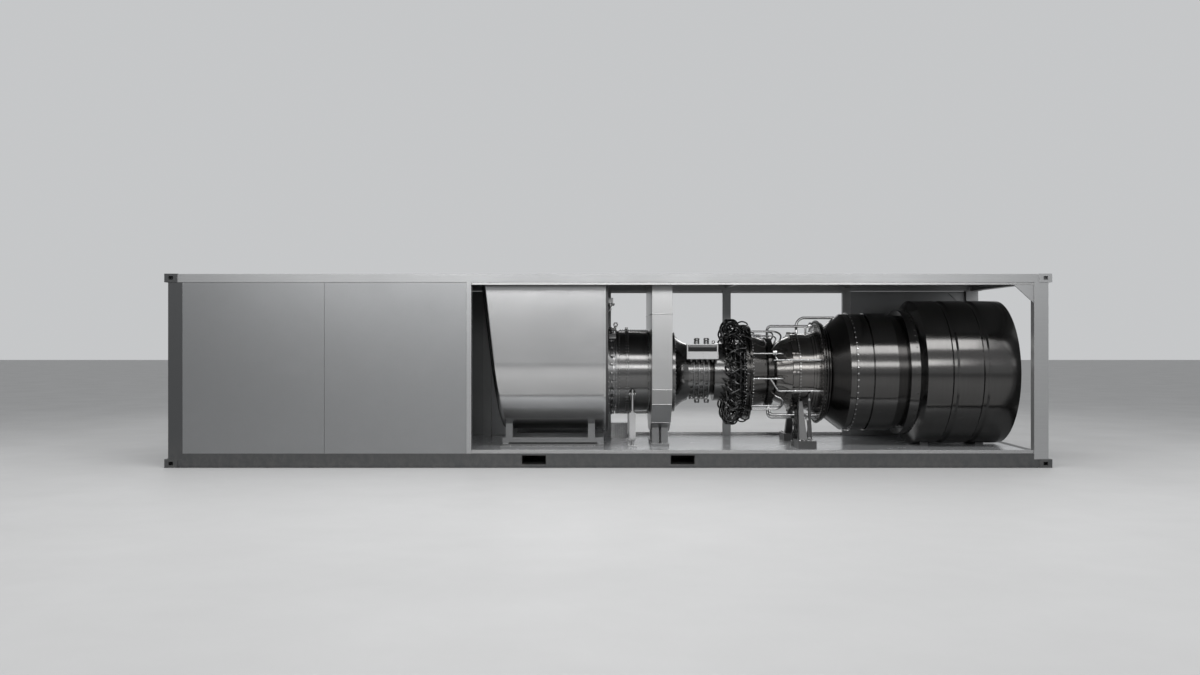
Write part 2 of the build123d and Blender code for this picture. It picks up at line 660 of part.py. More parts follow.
def inlet():
    mouth_x = PLATE_X - FLARE_RADIUS
    top = THROAT_RADIUS + FLARE_RADIUS
    low = sqrt(2) / 2 * FLARE_RADIUS
    inner = FLARE_RADIUS - FLARE_WALL
    deep = sqrt(2) / 2 * inner
    flow = ThreePointArc((PLATE_X, THROAT_RADIUS), (PLATE_X - low, top - low), (mouth_x, top))
    back = ThreePointArc((mouth_x + FLARE_WALL, top), (PLATE_X - deep, top - deep),
                         (PLATE_X, THROAT_RADIUS + FLARE_WALL))
    edges = [flow, Line(flow @ 1, back @ 0), back, Line(back @ 1, flow @ 0)]
    mouth = turned(Curve() + edges)
    nose = EllipticalCenterArc((FACE_X, 0), NOSE_LENGTH, HUB_RADIUS, start_angle=90, arc_size=90)
    hub = turned(Curve() + [nose, Polyline(nose @ 1, (FACE_X, 0), (LPC_X, 0), (LPC_X, HUB_RADIUS), nose @ 0)])
    start = FACE_X + (GUIDE_LENGTH - VANE_CHORD) / 2
    vanes = []
    for index in range(VANE_COUNT):
        vanes.append(bar(start, start + VANE_CHORD, HUB_RADIUS - ROOT_DEPTH, THROAT_RADIUS - RUNNING_GAP,
                         VANE_THICKNESS, index * 360 / VANE_COUNT))
    return {"inlet_bellmouth": [mouth], "inlet_hub": [hub + vanes]}


def guide_ring():
    front = FACE_X + GUIDE_FLANGE
    rear = LPC_X - GUIDE_FLANGE
    ring = turned([(FACE_X, THROAT_RADIUS), (FACE_X, GUIDE_FLANGE_RADIUS), (front, GUIDE_FLANGE_RADIUS),
                   (front, GUIDE_RADIUS), (rear, GUIDE_RADIUS), (rear, GUIDE_FLANGE_RADIUS),
                   (LPC_X, GUIDE_FLANGE_RADIUS), (LPC_X, THROAT_RADIUS)])
    lever_x = FACE_X + (GUIDE_LENGTH - LEVER_LENGTH) / 2
    pieces = []
    for index in range(LEVER_COUNT):
        angle = index * 360 / LEVER_COUNT
        pieces.append(spoke(lever_x + LEVER_WIDTH / 2, GUIDE_RADIUS - ROOT_DEPTH, GUIDE_FLANGE_RADIUS,
                            angle, LEVER_STEM_RADIUS))
        pieces.append(bar(lever_x, lever_x + LEVER_LENGTH, GUIDE_FLANGE_RADIUS - LEVER_THICKNESS,
                          GUIDE_FLANGE_RADIUS, LEVER_WIDTH, angle))
    return {"guide_vane_ring": [ring + pieces]}


def front_compressor():
    mid = LPC_X + LPC_MID_FLANGE_SHIFT
    slope = (LPC_REAR_RADIUS - LPC_FRONT_RADIUS) / LPC_LENGTH
    mid_radius = LPC_FRONT_RADIUS + slope * LPC_MID_FLANGE_SHIFT
    after_radius = mid_radius + slope * LPC_FLANGE
    body = casing([
        (LPC_X, LPC_FLANGE_RADIUS), (LPC_X + LPC_FLANGE, LPC_FLANGE_RADIUS),
        (LPC_X + LPC_FLANGE, LPC_FRONT_RADIUS), (mid, mid_radius), (mid, LPC_FLANGE_RADIUS),
        (mid + LPC_FLANGE, LPC_FLANGE_RADIUS), (mid + LPC_FLANGE, after_radius),
        (COLLECTOR_X - LPC_FLANGE, LPC_REAR_RADIUS), (COLLECTOR_X - LPC_FLANGE, LPC_FLANGE_RADIUS),
        (COLLECTOR_X, LPC_FLANGE_RADIUS),
    ])
    joints = []
    for angle in SPLIT_ANGLES:
        joints.append(bar(LPC_X, COLLECTOR_X, LPC_REAR_RADIUS - ROOT_DEPTH,
                          LPC_FLANGE_RADIUS - SPLIT_FLANGE_DROP, SPLIT_FLANGE_WIDTH, angle))
    return {"front_compressor_casing": [body + joints]}


def collector_half(shrink):
    """Half of the collector's section, from the roof line down to the middle of the bottom."""
    points = [(COLLECTOR_HALF_WIDTH, AXIS_Z - COLLECTOR_SIDE_FOOT)]
    for length, angle in zip(COLLECTOR_FACETS, COLLECTOR_FACET_ANGLES):
        y, z = points[-1]
        points.append((y - length * sin(radians(angle)), z - length * cos(radians(angle))))
    angles = (0,) + COLLECTOR_FACET_ANGLES + (90,)
    moved = []
    for (y, z), before, after in zip(points, angles, angles[1:]):
        reach = shrink / cos(radians(after - before) / 2)
        middle = radians(before + after) / 2
        moved.append((y - reach * cos(middle), z + reach * sin(middle)))
    return moved


def collector_section(shrink, top):
    half = collector_half(shrink)
    points = [(half[0][0], top)] + half
    points += [(-y, z) for y, z in reversed(points)]
    return make_face(Polyline(*points, close=True))


def collector():
    shell = extrude(Plane.YZ.offset(COLLECTOR_X) * collector_section(0, ROOF_Z), amount=COLLECTOR_LENGTH)
    room = COLLECTOR_LENGTH - 2 * COLLECTOR_WALL
    shell -= extrude(Plane.YZ.offset(COLLECTOR_X + COLLECTOR_WALL)
                     * collector_section(COLLECTOR_WALL, ROOF_Z + OVERRUN), amount=room)
    bore = DUCT_RADIUS + RUNNING_GAP
    shell -= turned([(COLLECTOR_X - OVERRUN, 0), (COLLECTOR_X - OVERRUN, bore),
                     (COLLECTOR_END_X + OVERRUN, bore), (COLLECTOR_END_X + OVERRUN, 0)])
    middle = COLLECTOR_X + COLLECTOR_LENGTH / 2
    block_z = DECK_Z + TRUNNION_BLOCK_HEIGHT
    half = TRUNNION_LENGTH / 2
    half_web = TRUNNION_WEB_LENGTH / 2
    half_slot = TRUNNION_SLOT / 2
    half_depth = TRUNNION_WEB_DEPTH / 2
    foot = block(middle - half, middle + half, TRUNNION_Y - TRUNNION_BLOCK_DEPTH / 2,
                 TRUNNION_Y + TRUNNION_BLOCK_DEPTH / 2, DECK_Z, block_z)
    web = block(middle - half_web, middle + half_web, TRUNNION_Y - half_depth, TRUNNION_Y + half_depth,
                block_z, AXIS_Z)
    web -= block(middle - half_slot, middle + half_slot, TRUNNION_Y - half_depth - OVERRUN,
                 TRUNNION_Y + half_depth + OVERRUN, block_z, AXIS_Z)
    solid = extrude(Plane.YZ.offset(COLLECTOR_X - OVERRUN) * collector_section(0, ROOF_Z),
                    amount=COLLECTOR_LENGTH + 2 * OVERRUN)
    return {"bleed_collector": [shell], "front_mounts": both_sides(foot + (web - solid))}


def neck():
    flange_x = COLLECTOR_END_X + NECK_FLANGE_SHIFT
    start = flange_x + NECK_FLANGE
    sag = ((start + HPC_X) / 2, (NECK_FRONT_RADIUS + NECK_REAR_RADIUS) / 2 - NECK_SAG)
    curve = ThreePointArc((start, NECK_FRONT_RADIUS), sag, (HPC_X, NECK_REAR_RADIUS))
    front = Polyline((HPC_X, 0), (COLLECTOR_X, 0), (COLLECTOR_X, DUCT_RADIUS), (flange_x, DUCT_RADIUS),
                     (flange_x, NECK_FLANGE_RADIUS), (start, NECK_FLANGE_RADIUS), (start, NECK_FRONT_RADIUS))
    body = turned(Curve() + [front, curve, Line(curve @ 1, (HPC_X, 0))])
    return {"neck_casing": [body]}


def rear_compressor():
    body = casing([(HPC_X, HPC_RADIUS), (GROOVE_X, HPC_RADIUS)])
    stem_top = HPC_RADIUS + HPC_STEM_RISE
    lever_bottom = stem_top + RUNNING_GAP
    stems = []
    rings = []
    for row in range(HPC_ROWS):
        x = HPC_X + HPC_FIRST_ROW + row * HPC_ROW_PITCH
        ring_x = x + UNISON_SHIFT
        ring_bottom = lever_bottom - UNISON_THICKNESS / 4
        ring_top = ring_bottom + UNISON_THICKNESS
        ring = turned([(ring_x, ring_bottom), (ring_x, ring_top), (ring_x + UNISON_WIDTH, ring_top),
                       (ring_x + UNISON_WIDTH, ring_bottom)])
        levers = []
        for index in range(HPC_STEMS):
            angle = (index + row / 2) * 360 / HPC_STEMS
            stems.append(spoke(x, HPC_RADIUS - ROOT_DEPTH, stem_top, angle, HPC_STEM_RADIUS))
            levers.append(bar(x - HPC_STEM_RADIUS, ring_x + UNISON_WIDTH / 2, lever_bottom,
                              lever_bottom + UNISON_THICKNESS / 2, HPC_STEM_RADIUS, angle))
        if row in ACTUATOR_ROWS:
            for angle, rise in ((90, ACTUATOR_TOP_RISE), (-90, ACTUATOR_LOW_RISE)):
                levers.append(spoke(ring_x + UNISON_WIDTH / 2, ring_top - ACTUATOR_SEAT, ring_top + rise,
                                    angle, ACTUATOR_RADIUS))
        rings.append(ring + levers)
    return {"rear_compressor_casing": [body + stems], "vane_control_rings": rings}


def control_box():
    left = HPC_X - BOX_SHIFT
    low = AXIS_Z + BOX_RISE
    high = low + BOX_HEIGHT
    back = BOX_DEPTH - BOX_FACE_Y
    box = block(left, left + BOX_LENGTH, -BOX_FACE_Y, back, low, high)
    box -= block(left + BOX_BORDER, left + BOX_LENGTH - BOX_BORDER, -BOX_FACE_Y - OVERRUN,
                 BOX_RECESS - BOX_FACE_Y, low + BOX_HEIGHT / 2, high - BOX_BORDER)
    keep_out = turned([(left, 0), (left, NECK_REAR_RADIUS + UNISON_WIDTH),
                       (left + BOX_LENGTH, NECK_REAR_RADIUS + UNISON_WIDTH), (left + BOX_LENGTH, 0)])
    front_x = GROOVE_X + GROOVE_LENGTH
    bracket = block(front_x, front_x + BOX_BRACKET, back, 0, low, low + BOX_BRACKET)
    bracket -= turned([(DIFFUSER_X - OVERRUN, 0), (DIFFUSER_X - OVERRUN, DIFFUSER_RADIUS + RUNNING_GAP),
                       (CONE_START_X, DIFFUSER_RADIUS + RUNNING_GAP), (CONE_START_X, 0)])
    return {"control_box": [box - keep_out + bracket]}


def combustor():
    front = casing([
        (GROOVE_X, GROOVE_RADIUS), (DIFFUSER_X, GROOVE_RADIUS), (DIFFUSER_X, DIFFUSER_RADIUS),
        (CONE_START_X, DIFFUSER_RADIUS), (FLANGE_X, DIFFUSER_CONE_RADIUS), (FLANGE_X, MAIN_FLANGE_RADIUS),
        (FLANGE_X + MAIN_FLANGE, MAIN_FLANGE_RADIUS), (FLANGE_X + MAIN_FLANGE, DIFFUSER_CONE_RADIUS),
    ])
    injector_x = DIFFUSER_X + INJECTOR_SHIFT
    injectors = []
    for index in range(INJECTOR_COUNT):
        angle = index * 360 / INJECTOR_COUNT
        injectors.append(spoke(injector_x, DIFFUSER_RADIUS - ROOT_DEPTH, INJECTOR_TOP, angle,
                               INJECTOR_RADIUS))
    flange_x = COMBUSTOR_X - MAIN_FLANGE
    rear = casing([
        (FLANGE_X + MAIN_FLANGE, DIFFUSER_CONE_RADIUS), (flange_x, DIFFUSER_CONE_RADIUS),
        (flange_x, MAIN_FLANGE_RADIUS), (COMBUSTOR_X, MAIN_FLANGE_RADIUS),
        (COMBUSTOR_X, COMBUSTOR_FRONT_RADIUS), (DARK_FLANGE_X, COMBUSTOR_REAR_RADIUS),
    ])
    return {"combustor_front_casing": [front + injectors], "combustor_casing": [rear]}


def fuel_manifold():
    ring_x = FLANGE_X - RAIL_TUBE_RADIUS - RUNNING_GAP
    pieces = [Pos(ring_x, 0, AXIS_Z) * Rot(0, 90, 0) * Torus(RAIL_RING_RADIUS, RAIL_TUBE_RADIUS)]
    injector_x = DIFFUSER_X + INJECTOR_SHIFT
    turn_x = (injector_x + FLANGE_X) / 2
    for index in range(INJECTOR_COUNT):
        angle = index * 360 / INJECTOR_COUNT
        pieces.append(tube([
            around(FLANGE_X, PIGTAIL_ROOT, angle + PIGTAIL_SWING),
            around(turn_x, PIGTAIL_ROOT, angle + PIGTAIL_SWING),
            around(turn_x, PIGTAIL_OUTER, angle + PIGTAIL_SWING / 2),
            around(injector_x, PIGTAIL_OUTER, angle),
            around(injector_x, INJECTOR_TOP, angle),
        ], PIGTAIL_RADIUS, PIGTAIL_BEND / 2))
    return {"fuel_manifold": pieces}


def turbines():
    dark = casing([(DARK_FLANGE_X, DARK_FLANGE_RADIUS), (HPT_X, DARK_FLANGE_RADIUS)])
    hot = casing([(HPT_X, HPT_FRONT_RADIUS), (LPT_X, HPT_REAR_RADIUS)])
    flange = LPT_X + LPT_FLANGE_SHIFT
    low = casing([(LPT_X, LPT_RADIUS), (flange, LPT_RADIUS), (flange, LPT_FLANGE_RADIUS),
                  (flange + LPT_FLANGE, LPT_FLANGE_RADIUS), (flange + LPT_FLANGE, LPT_RADIUS),
                  (RINGS_X, LPT_RADIUS)])
    steps = []
    for index in range(RING_STEPS):
        radius = LPT_RADIUS + (index + 1) * RING_STEP_RISE
        steps.append((RINGS_X + index * RING_STEP_LENGTH, radius))
        steps.append((RINGS_X + (index + 1) * RING_STEP_LENGTH, radius))
    rim_end = RIM_X + RIM_THICKNESS
    steps += [(RIM_X, RIM_RADIUS), (rim_end, RIM_RADIUS), (rim_end, RIM_WAIST_RADIUS),
              (CONE_X, CONE_FRONT_RADIUS)]
    return {"turbine_mid_flange": [dark], "front_turbine_casing": [hot], "rear_turbine_casing": [low],
            "rear_flange_rings": [casing(steps)]}


def exhaust_front():
    cone = casing([(CONE_X, CONE_FRONT_RADIUS), (BAND_X, BAND_RADIUS)])
    flange = BAND_X + BAND_FLANGE_SHIFT
    band = casing([(BAND_X, BAND_RADIUS), (flange, BAND_RADIUS), (flange, BAND_FLANGE_RADIUS),
                   (flange + BAND_FLANGE, BAND_FLANGE_RADIUS), (flange + BAND_FLANGE, BAND_RADIUS),
                   (GROOVE_BAND_X, BAND_RADIUS)])
    drum = casing([(GROOVE_BAND_X, BAND_GROOVE_RADIUS), (DIFFUSER_DRUM_X, BAND_GROOVE_RADIUS),
                   (DIFFUSER_DRUM_X, DIFFUSER_DRUM_RADIUS), (RECESS_X, DIFFUSER_DRUM_RADIUS)])
    recess = turned([(RECESS_X, GAS_RADIUS), (RECESS_X, RECESS_RADIUS), (COLLAR_X, RECESS_RADIUS),
                     (COLLAR_X, GAS_RADIUS)])
    collar = turned([(COLLAR_X, GAS_RADIUS), (COLLAR_X, COLLAR_RADIUS), (DRUM_X, COLLAR_RADIUS),
                     (DRUM_X, GAS_RADIUS)])
    return {"exhaust_cone": [cone], "exhaust_band": [band], "diffuser_drum": [drum],
            "exhaust_seal_ring": [recess], "exhaust_collar": [collar]}


def exhaust_drum():
    outer = [(DRUM_X, COLLAR_RADIUS), (DRUM_X + DRUM_SHOULDER, DRUM_RADIUS)]
    inner = [(DRUM_X + DRUM_END_PLATE, COLLAR_RADIUS - DRUM_WALL),
             (DRUM_X + DRUM_SHOULDER + DRUM_WALL, DRUM_RADIUS - DRUM_WALL)]
    ramp = DRUM_BEAD_DEPTH
    for shift in DRUM_BEADS:
        start = DRUM_X + shift
        end = start + DRUM_BEAD_WIDTH
        for line, radius in ((outer, DRUM_RADIUS), (inner, DRUM_RADIUS - DRUM_WALL)):
            line += [(start, radius), (start + ramp, radius - DRUM_BEAD_DEPTH),
                     (end - ramp, radius - DRUM_BEAD_DEPTH), (end, radius)]
    outer.append((DRUM_END_X, DRUM_RADIUS))
    inner.append((DRUM_END_X, DRUM_RADIUS - DRUM_WALL))
    plate = [(DRUM_X + DRUM_END_PLATE, GAS_RADIUS), (DRUM_X, GAS_RADIUS)]
    drum = turned(outer + inner[::-1] + plate)
    saddles = []
    for shift in SADDLE_SHIFTS:
        x = DRUM_X + shift
        top = AXIS_Z - sqrt(DRUM_RADIUS ** 2 - SADDLE_HALF_WIDTH ** 2)
        rest = block(x, x + SADDLE_LENGTH, -SADDLE_HALF_WIDTH, SADDLE_HALF_WIDTH, DECK_Z, top)
        rest -= turned([(x - OVERRUN, 0), (x - OVERRUN, DRUM_RADIUS + RUNNING_GAP),
                        (x + SADDLE_LENGTH + OVERRUN, DRUM_RADIUS + RUNNING_GAP),
                        (x + SADDLE_LENGTH + OVERRUN, 0)])
        saddles.append(rest)
    tail = casing([(RECESS_X, TAIL_RADIUS), (DRUM_X, TAIL_RADIUS),
                   (RECESS_X + TAIL_LENGTH, TAIL_END_RADIUS)])
    struts = []
    for index in range(STRUT_COUNT):
        struts.append(bar(RECESS_X, RECESS_X + STRUT_CHORD, TAIL_RADIUS - ROOT_DEPTH,
                          GAS_RADIUS - RUNNING_GAP, STRUT_THICKNESS, index * 360 / STRUT_COUNT))
    return {"exhaust_drum": [drum], "drum_saddles": saddles, "exhaust_tail_cone": [tail + struts]}


def fore_struts():
    foot_z = DECK_Z + FORE_FOOT_HEIGHT
    neck_z = foot_z + FORE_NECK_HEIGHT
    sleeve_z = neck_z + FORE_SLEEVE_HEIGHT
    half_foot = FORE_FOOT_SIZE / 2
    half = FORE_SLEEVE_SIZE / 2
    post = block(FORE_STRUT_X - half_foot, FORE_STRUT_X + half_foot, FORE_STRUT_Y - half_foot,
                 FORE_STRUT_Y + half_foot, DECK_Z, foot_z)
    post += Pos(FORE_STRUT_X, FORE_STRUT_Y, (foot_z + neck_z) / 2) * Cylinder(FORE_NECK_RADIUS,
                                                                             FORE_NECK_HEIGHT)
    post += block(FORE_STRUT_X - half, FORE_STRUT_X + half, FORE_STRUT_Y - half, FORE_STRUT_Y + half,
                  neck_z, sleeve_z)
    post += Pos(FORE_STRUT_X, FORE_STRUT_Y, (sleeve_z + AXIS_Z) / 2) * Cylinder(FORE_STRUT_RADIUS,
                                                                               AXIS_Z - sleeve_z)
    post -= turned([(LPC_X, 0), (LPC_X, LPC_FLANGE_RADIUS + RUNNING_GAP),
                    (COLLECTOR_X, LPC_FLANGE_RADIUS + RUNNING_GAP), (COLLECTOR_X, 0)])
    return {"fore_struts": both_sides(post)}


def tapered(x, foot, foot_z, head, head_z):
    """A leg between two level rectangles, each given as its Y, its length and its depth."""
    faces = []
    for (y, length, depth), z in ((foot, foot_z), (head, head_z)):
        faces.append((Plane.XY.offset(z) * Pos(x, y) * Rectangle(length, depth)).face())
    return loft(faces)


def aft_stands():
    base_z = DECK_Z + AFT_BASE_HEIGHT
    half = AFT_BASE_LENGTH / 2
    near = LPT_FLANGE_RADIUS + RUNNING_GAP
    stand = block(AFT_STAND_X - half, AFT_STAND_X + half, AFT_BASE_NEAR - AFT_BASE_DEPTH, AFT_BASE_NEAR,
                  DECK_Z, base_z)
    head_z = AXIS_Z - sqrt(near ** 2 - (AFT_HEAD_Y + AFT_HEAD_DEPTH / 2) ** 2) + ROOT_DEPTH
    stand += tapered(AFT_STAND_X - AFT_LEG_SHIFT, (AFT_FOOT_Y, AFT_LEG_FOOT, AFT_LEG_DEPTH), base_z,
                     (AFT_HEAD_Y, AFT_LEG_HEAD, AFT_HEAD_DEPTH), head_z)
    rod_x = AFT_STAND_X + AFT_ROD_SHIFT
    stand += tapered(rod_x, (AFT_ROD_Y, AFT_PEDESTAL_FOOT, AFT_PEDESTAL_FOOT), base_z,
                     (AFT_ROD_Y, AFT_PEDESTAL_HEAD, AFT_PEDESTAL_HEAD), base_z + AFT_PEDESTAL_HEIGHT)
    stand += Pos(rod_x, AFT_ROD_Y, (base_z + AXIS_Z) / 2) * Cylinder(AFT_ROD_RADIUS, AXIS_Z - base_z)
    stand -= turned([(LPT_X - LPT_LENGTH, 0), (LPT_X - LPT_LENGTH, near), (RINGS_X, near), (RINGS_X, 0)])
    return {"aft_stands": both_sides(stand)}


def oil_cooler():
    left = FACE_X + COOLER_SHIFT
    right = left + COOLER_LENGTH
    top = DECK_Z + COOLER_HEIGHT
    near = COOLER_Y - COOLER_DEPTH / 2
    far = COOLER_Y + COOLER_DEPTH / 2
    body = block(left, right, near, far, DECK_Z, top)
    fins = [block(left, left + COOLER_HEADER, near - COOLER_FIN_DEPTH, far + COOLER_FIN_DEPTH, DECK_Z, top)]
    pitch = (COOLER_LENGTH - COOLER_HEADER) / COOLER_FINS
    for index in range(COOLER_FINS):
        x = right - index * pitch
        fins.append(block(x - COOLER_FIN_THICKNESS, x, near - COOLER_FIN_DEPTH, far + COOLER_FIN_DEPTH,
                          DECK_Z, top))
    return {"oil_cooler": [body + fins]}


def sensor_boxes():
    low = AXIS_Z + SENSOR_BOX_RISE
    half = SENSOR_BOX_WIDTH / 2
    box = block(FACE_X, FACE_X + SENSOR_BOX_LENGTH, SENSOR_BOX_Y - half, SENSOR_BOX_Y + half, low,
                low + SENSOR_BOX_HEIGHT)
    return {"sensor_boxes": both_sides(box)}


def pipe_to_rim(angle, radius, thickness):
    """A pipe that leaves the dark flange outward and runs to the rim."""
    start = DARK_FLANGE_X + DARK_FLANGE / 2
    return tube([around(start, DARK_FLANGE_RADIUS, angle), around(start, radius, angle),
                 around(RIM_X, radius, angle)], thickness, PIPE_BEND)


def pipe_from_flange(angle, end, seat):
    """A pipe that leaves the main flange and turns down to the casing it is seated on."""
    pipe = tube([around(COMBUSTOR_X, SHORT_PIPE_R, angle), around(end, SHORT_PIPE_R, angle),
                 around(end, HPT_FRONT_RADIUS, angle)], ROD_RADIUS, PIPE_BEND)
    return pipe - seat


def pipes():
    pieces = [pipe_to_rim(LONG_PIPE_ANGLE, LONG_PIPE_R, PIPE_RADIUS),
              pipe_to_rim(SIDE_PIPE_ANGLE, SIDE_PIPE_R, ROD_RADIUS)]
    for angle in BELLY_PIPE_ANGLES:
        pieces.append(pipe_to_rim(angle, LOW_PIPE_R, PIPE_RADIUS))
    branch = tube([around(DARK_FLANGE_X, SHORT_PIPE_R, SHORT_PIPE_ANGLE),
                   around(DARK_FLANGE_X + CROSS_PIPE_RUN, SIDE_PIPE_R, CROSS_PIPE_ANGLE),
                   around(RIM_X, SIDE_PIPE_R, CROSS_PIPE_ANGLE)], ROD_RADIUS, PIPE_BEND / 2)
    high_x = (LPT_X + RINGS_X) / 2
    slope = (BAND_RADIUS - CONE_FRONT_RADIUS) / CONE_LENGTH
    high_end = CONE_X + (HIGH_PIPE_R - PIPE_RADIUS - CONE_FRONT_RADIUS) / slope - PIPE_RADIUS
    pieces.append(tube([around(high_x, LPT_RADIUS, HIGH_PIPE_ANGLE),
                        around(high_x, HIGH_PIPE_R, HIGH_PIPE_ANGLE),
                        around(high_end, HIGH_PIPE_R, HIGH_PIPE_ANGLE)], PIPE_RADIUS,
                       HIGH_PIPE_BEND))
    side_end = HPT_X + HPT_LENGTH / 2
    hot = turbines()["front_turbine_casing"][0]
    pieces.append(pipe_from_flange(SHORT_PIPE_ANGLE, side_end, hot) + branch)
    pieces.append(pipe_from_flange(ELBOW_PIPE_ANGLE, side_end, hot))
    top_end = (COMBUSTOR_X + DARK_FLANGE_X) / 2
    pieces.append(pipe_from_flange(SHORT_TOP_ANGLE, top_end, combustor()["combustor_casing"][0]))
    return {"engine_pipes": pieces}


def main():
    os.makedirs("parts", exist_ok=True)
    nodes = {}
    for group in (castings, base, posts, lips, gussets, walls, roof, plenum, plenum_stand, inlet,
                  guide_ring, front_compressor, collector, neck, rear_compressor, control_box, combustor,
                  fuel_manifold, turbines, exhaust_front, exhaust_drum, fore_struts, aft_stands,
                  oil_cooler, sensor_boxes, pipes):
        nodes.update(group())
    for name, pieces in nodes.items():
        solids = [solid for piece in pieces for solid in piece.solids()]
        shape = solids[0] if len(solids) == 1 else Compound(solids)
        export_step(shape, f"parts/{name}.step")


main()
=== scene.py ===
import json
from math import cos, radians, sin, tau

import bmesh
import bpy
from mathutils import Matrix, Vector


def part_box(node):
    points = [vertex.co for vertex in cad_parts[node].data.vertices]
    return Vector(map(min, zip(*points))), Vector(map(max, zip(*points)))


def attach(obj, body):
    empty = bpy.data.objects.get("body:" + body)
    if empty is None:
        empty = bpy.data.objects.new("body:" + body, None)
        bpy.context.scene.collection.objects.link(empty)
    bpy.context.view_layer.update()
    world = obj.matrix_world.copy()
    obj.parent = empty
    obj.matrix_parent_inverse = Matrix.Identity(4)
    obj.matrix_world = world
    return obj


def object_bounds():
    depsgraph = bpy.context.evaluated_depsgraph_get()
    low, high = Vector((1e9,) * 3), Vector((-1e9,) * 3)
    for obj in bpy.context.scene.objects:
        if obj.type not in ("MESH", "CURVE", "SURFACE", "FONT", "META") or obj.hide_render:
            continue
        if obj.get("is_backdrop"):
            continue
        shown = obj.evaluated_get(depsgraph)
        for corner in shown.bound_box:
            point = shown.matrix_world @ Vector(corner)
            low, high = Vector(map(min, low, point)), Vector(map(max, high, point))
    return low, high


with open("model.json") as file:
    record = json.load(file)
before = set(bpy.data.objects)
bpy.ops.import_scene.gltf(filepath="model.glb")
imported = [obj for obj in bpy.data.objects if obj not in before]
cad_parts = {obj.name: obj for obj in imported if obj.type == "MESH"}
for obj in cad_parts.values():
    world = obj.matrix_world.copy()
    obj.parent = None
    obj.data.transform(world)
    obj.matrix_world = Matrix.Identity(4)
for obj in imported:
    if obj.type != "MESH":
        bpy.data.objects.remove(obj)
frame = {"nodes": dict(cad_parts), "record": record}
CAD_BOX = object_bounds()

# Everything is in metres in the part's own frame: X along the engine from the air inlet to the exhaust,
# Y from the open front to the back, Z up.
BODY = "root"


def ends(node):
    """Where a node starts and stops along the engine."""
    low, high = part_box(node)
    return low.x, high.x


def reach(node):
    """How far a round node stands out from the engine axis."""
    low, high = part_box(node)
    return (high.z - low.z) / 2


DRUM_LOW, DRUM_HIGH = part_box("exhaust_drum")
AXIS_Z = (DRUM_LOW.z + DRUM_HIGH.z) / 2
DECK_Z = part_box("floor_deck")[1].z

# ---------------------------------------------------------------------------------------------------
# Materials
# ---------------------------------------------------------------------------------------------------

TURNED = (240.0, 2.2, 2.2)      # fine rings round the engine axis
ALONG = (1.6, 210.0, 210.0)     # brushed along the engine
UPRIGHT = (210.0, 210.0, 1.6)   # brushed up and down
EVEN = (260.0, 260.0, 260.0)    # sprayed or blasted, the same every way
CLOUD = (0.9, 0.9, 0.9)         # broad shifts of tone
SMEAR = (2.6, 5.0, 5.0)         # wiped patches
SPECKLE = (14.0, 14.0, 9.0)     # dust
CHIP = (18.0, 18.0, 18.0)       # wear on edges

CLOUD_SHARE, GRAIN_SHARE = 0.55, 0.45   # what clouds and grain add to a tone
DUST_TOP = 0.45                         # height at which the dust has thinned out
DUST_COLOUR = (0.30, 0.28, 0.25)
DUST_ROUGHNESS = 0.3
RELIEF_DEPTH = 0.0015
EDGE_SAMPLES = 4
FLAT, ROUNDED = 0.995, 0.90             # how far a rounded normal agrees with its face


class Look:
    """A material whose colour, roughness and relief come from nodes."""

    def __init__(self, name):
        self.material = bpy.data.materials.new(name)
        self.material.use_nodes = True
        self.tree = self.material.node_tree
        self.shader = self.tree.nodes["Principled BSDF"]
        self.place = self.add("ShaderNodeTexCoord").outputs["Object"]

    def add(self, kind, **settings):
        node = self.tree.nodes.new(kind)
        for key, value in settings.items():
            setattr(node, key, value)
        return node

    def feed(self, node, socket, value):
        """Links an output to a socket, or sets a plain value on it."""
        target = node.inputs[socket]
        if isinstance(value, bpy.types.NodeSocket):
            self.tree.links.new(value, target)
        else:
            target.default_value = value

    def noise(self, stretch, detail=5.0, rough=0.6):
        mapping = self.add("ShaderNodeMapping")
        self.feed(mapping, "Vector", self.place)
        mapping.inputs["Scale"].default_value = stretch
        node = self.add("ShaderNodeTexNoise")
        self.feed(node, "Vector", mapping.outputs["Vector"])
        self.feed(node, "Scale", 1.0)
        self.feed(node, "Detail", detail)
        self.feed(node, "Roughness", rough)
        return node.outputs["Fac"]

    def math(self, operation, first, second=0.0, third=0.0):
        node = self.add("ShaderNodeMath", operation=operation, use_clamp=False)
        for index, value in enumerate((first, second, third)):
            self.feed(node, index, value)
        return node.outputs[0]

    def spread(self, value, low, high, to_low=0.0, to_high=1.0):
        node = self.add("ShaderNodeMapRange", clamp=True)
        for socket, number in (("Value", value), ("From Min", low), ("From Max", high),
                               ("To Min", to_low), ("To Max", to_high)):
            self.feed(node, socket, number)
        return node.outputs["Result"]

    def mix(self, amount, first, second):
        node = self.add("ShaderNodeMix", data_type="RGBA")
        self.feed(node, 0, amount)
        for index, value in ((6, first), (7, second)):
            self.feed(node, index, value if isinstance(value, bpy.types.NodeSocket) else (*value, 1.0))
        return node.outputs[2]

    def edges(self, radius):
        """The rounded normal of edges, and a mask that is 1 on them."""
        bevel = self.add("ShaderNodeBevel", samples=EDGE_SAMPLES)
        self.feed(bevel, "Radius", radius)
        normal = self.add("ShaderNodeNewGeometry").outputs["Normal"]
        dot = self.add("ShaderNodeVectorMath", operation="DOT_PRODUCT")
        self.feed(dot, 0, bevel.outputs["Normal"])
        self.feed(dot, 1, normal)
        return bevel.outputs["Normal"], self.spread(dot.outputs["Value"], FLAT, ROUNDED)


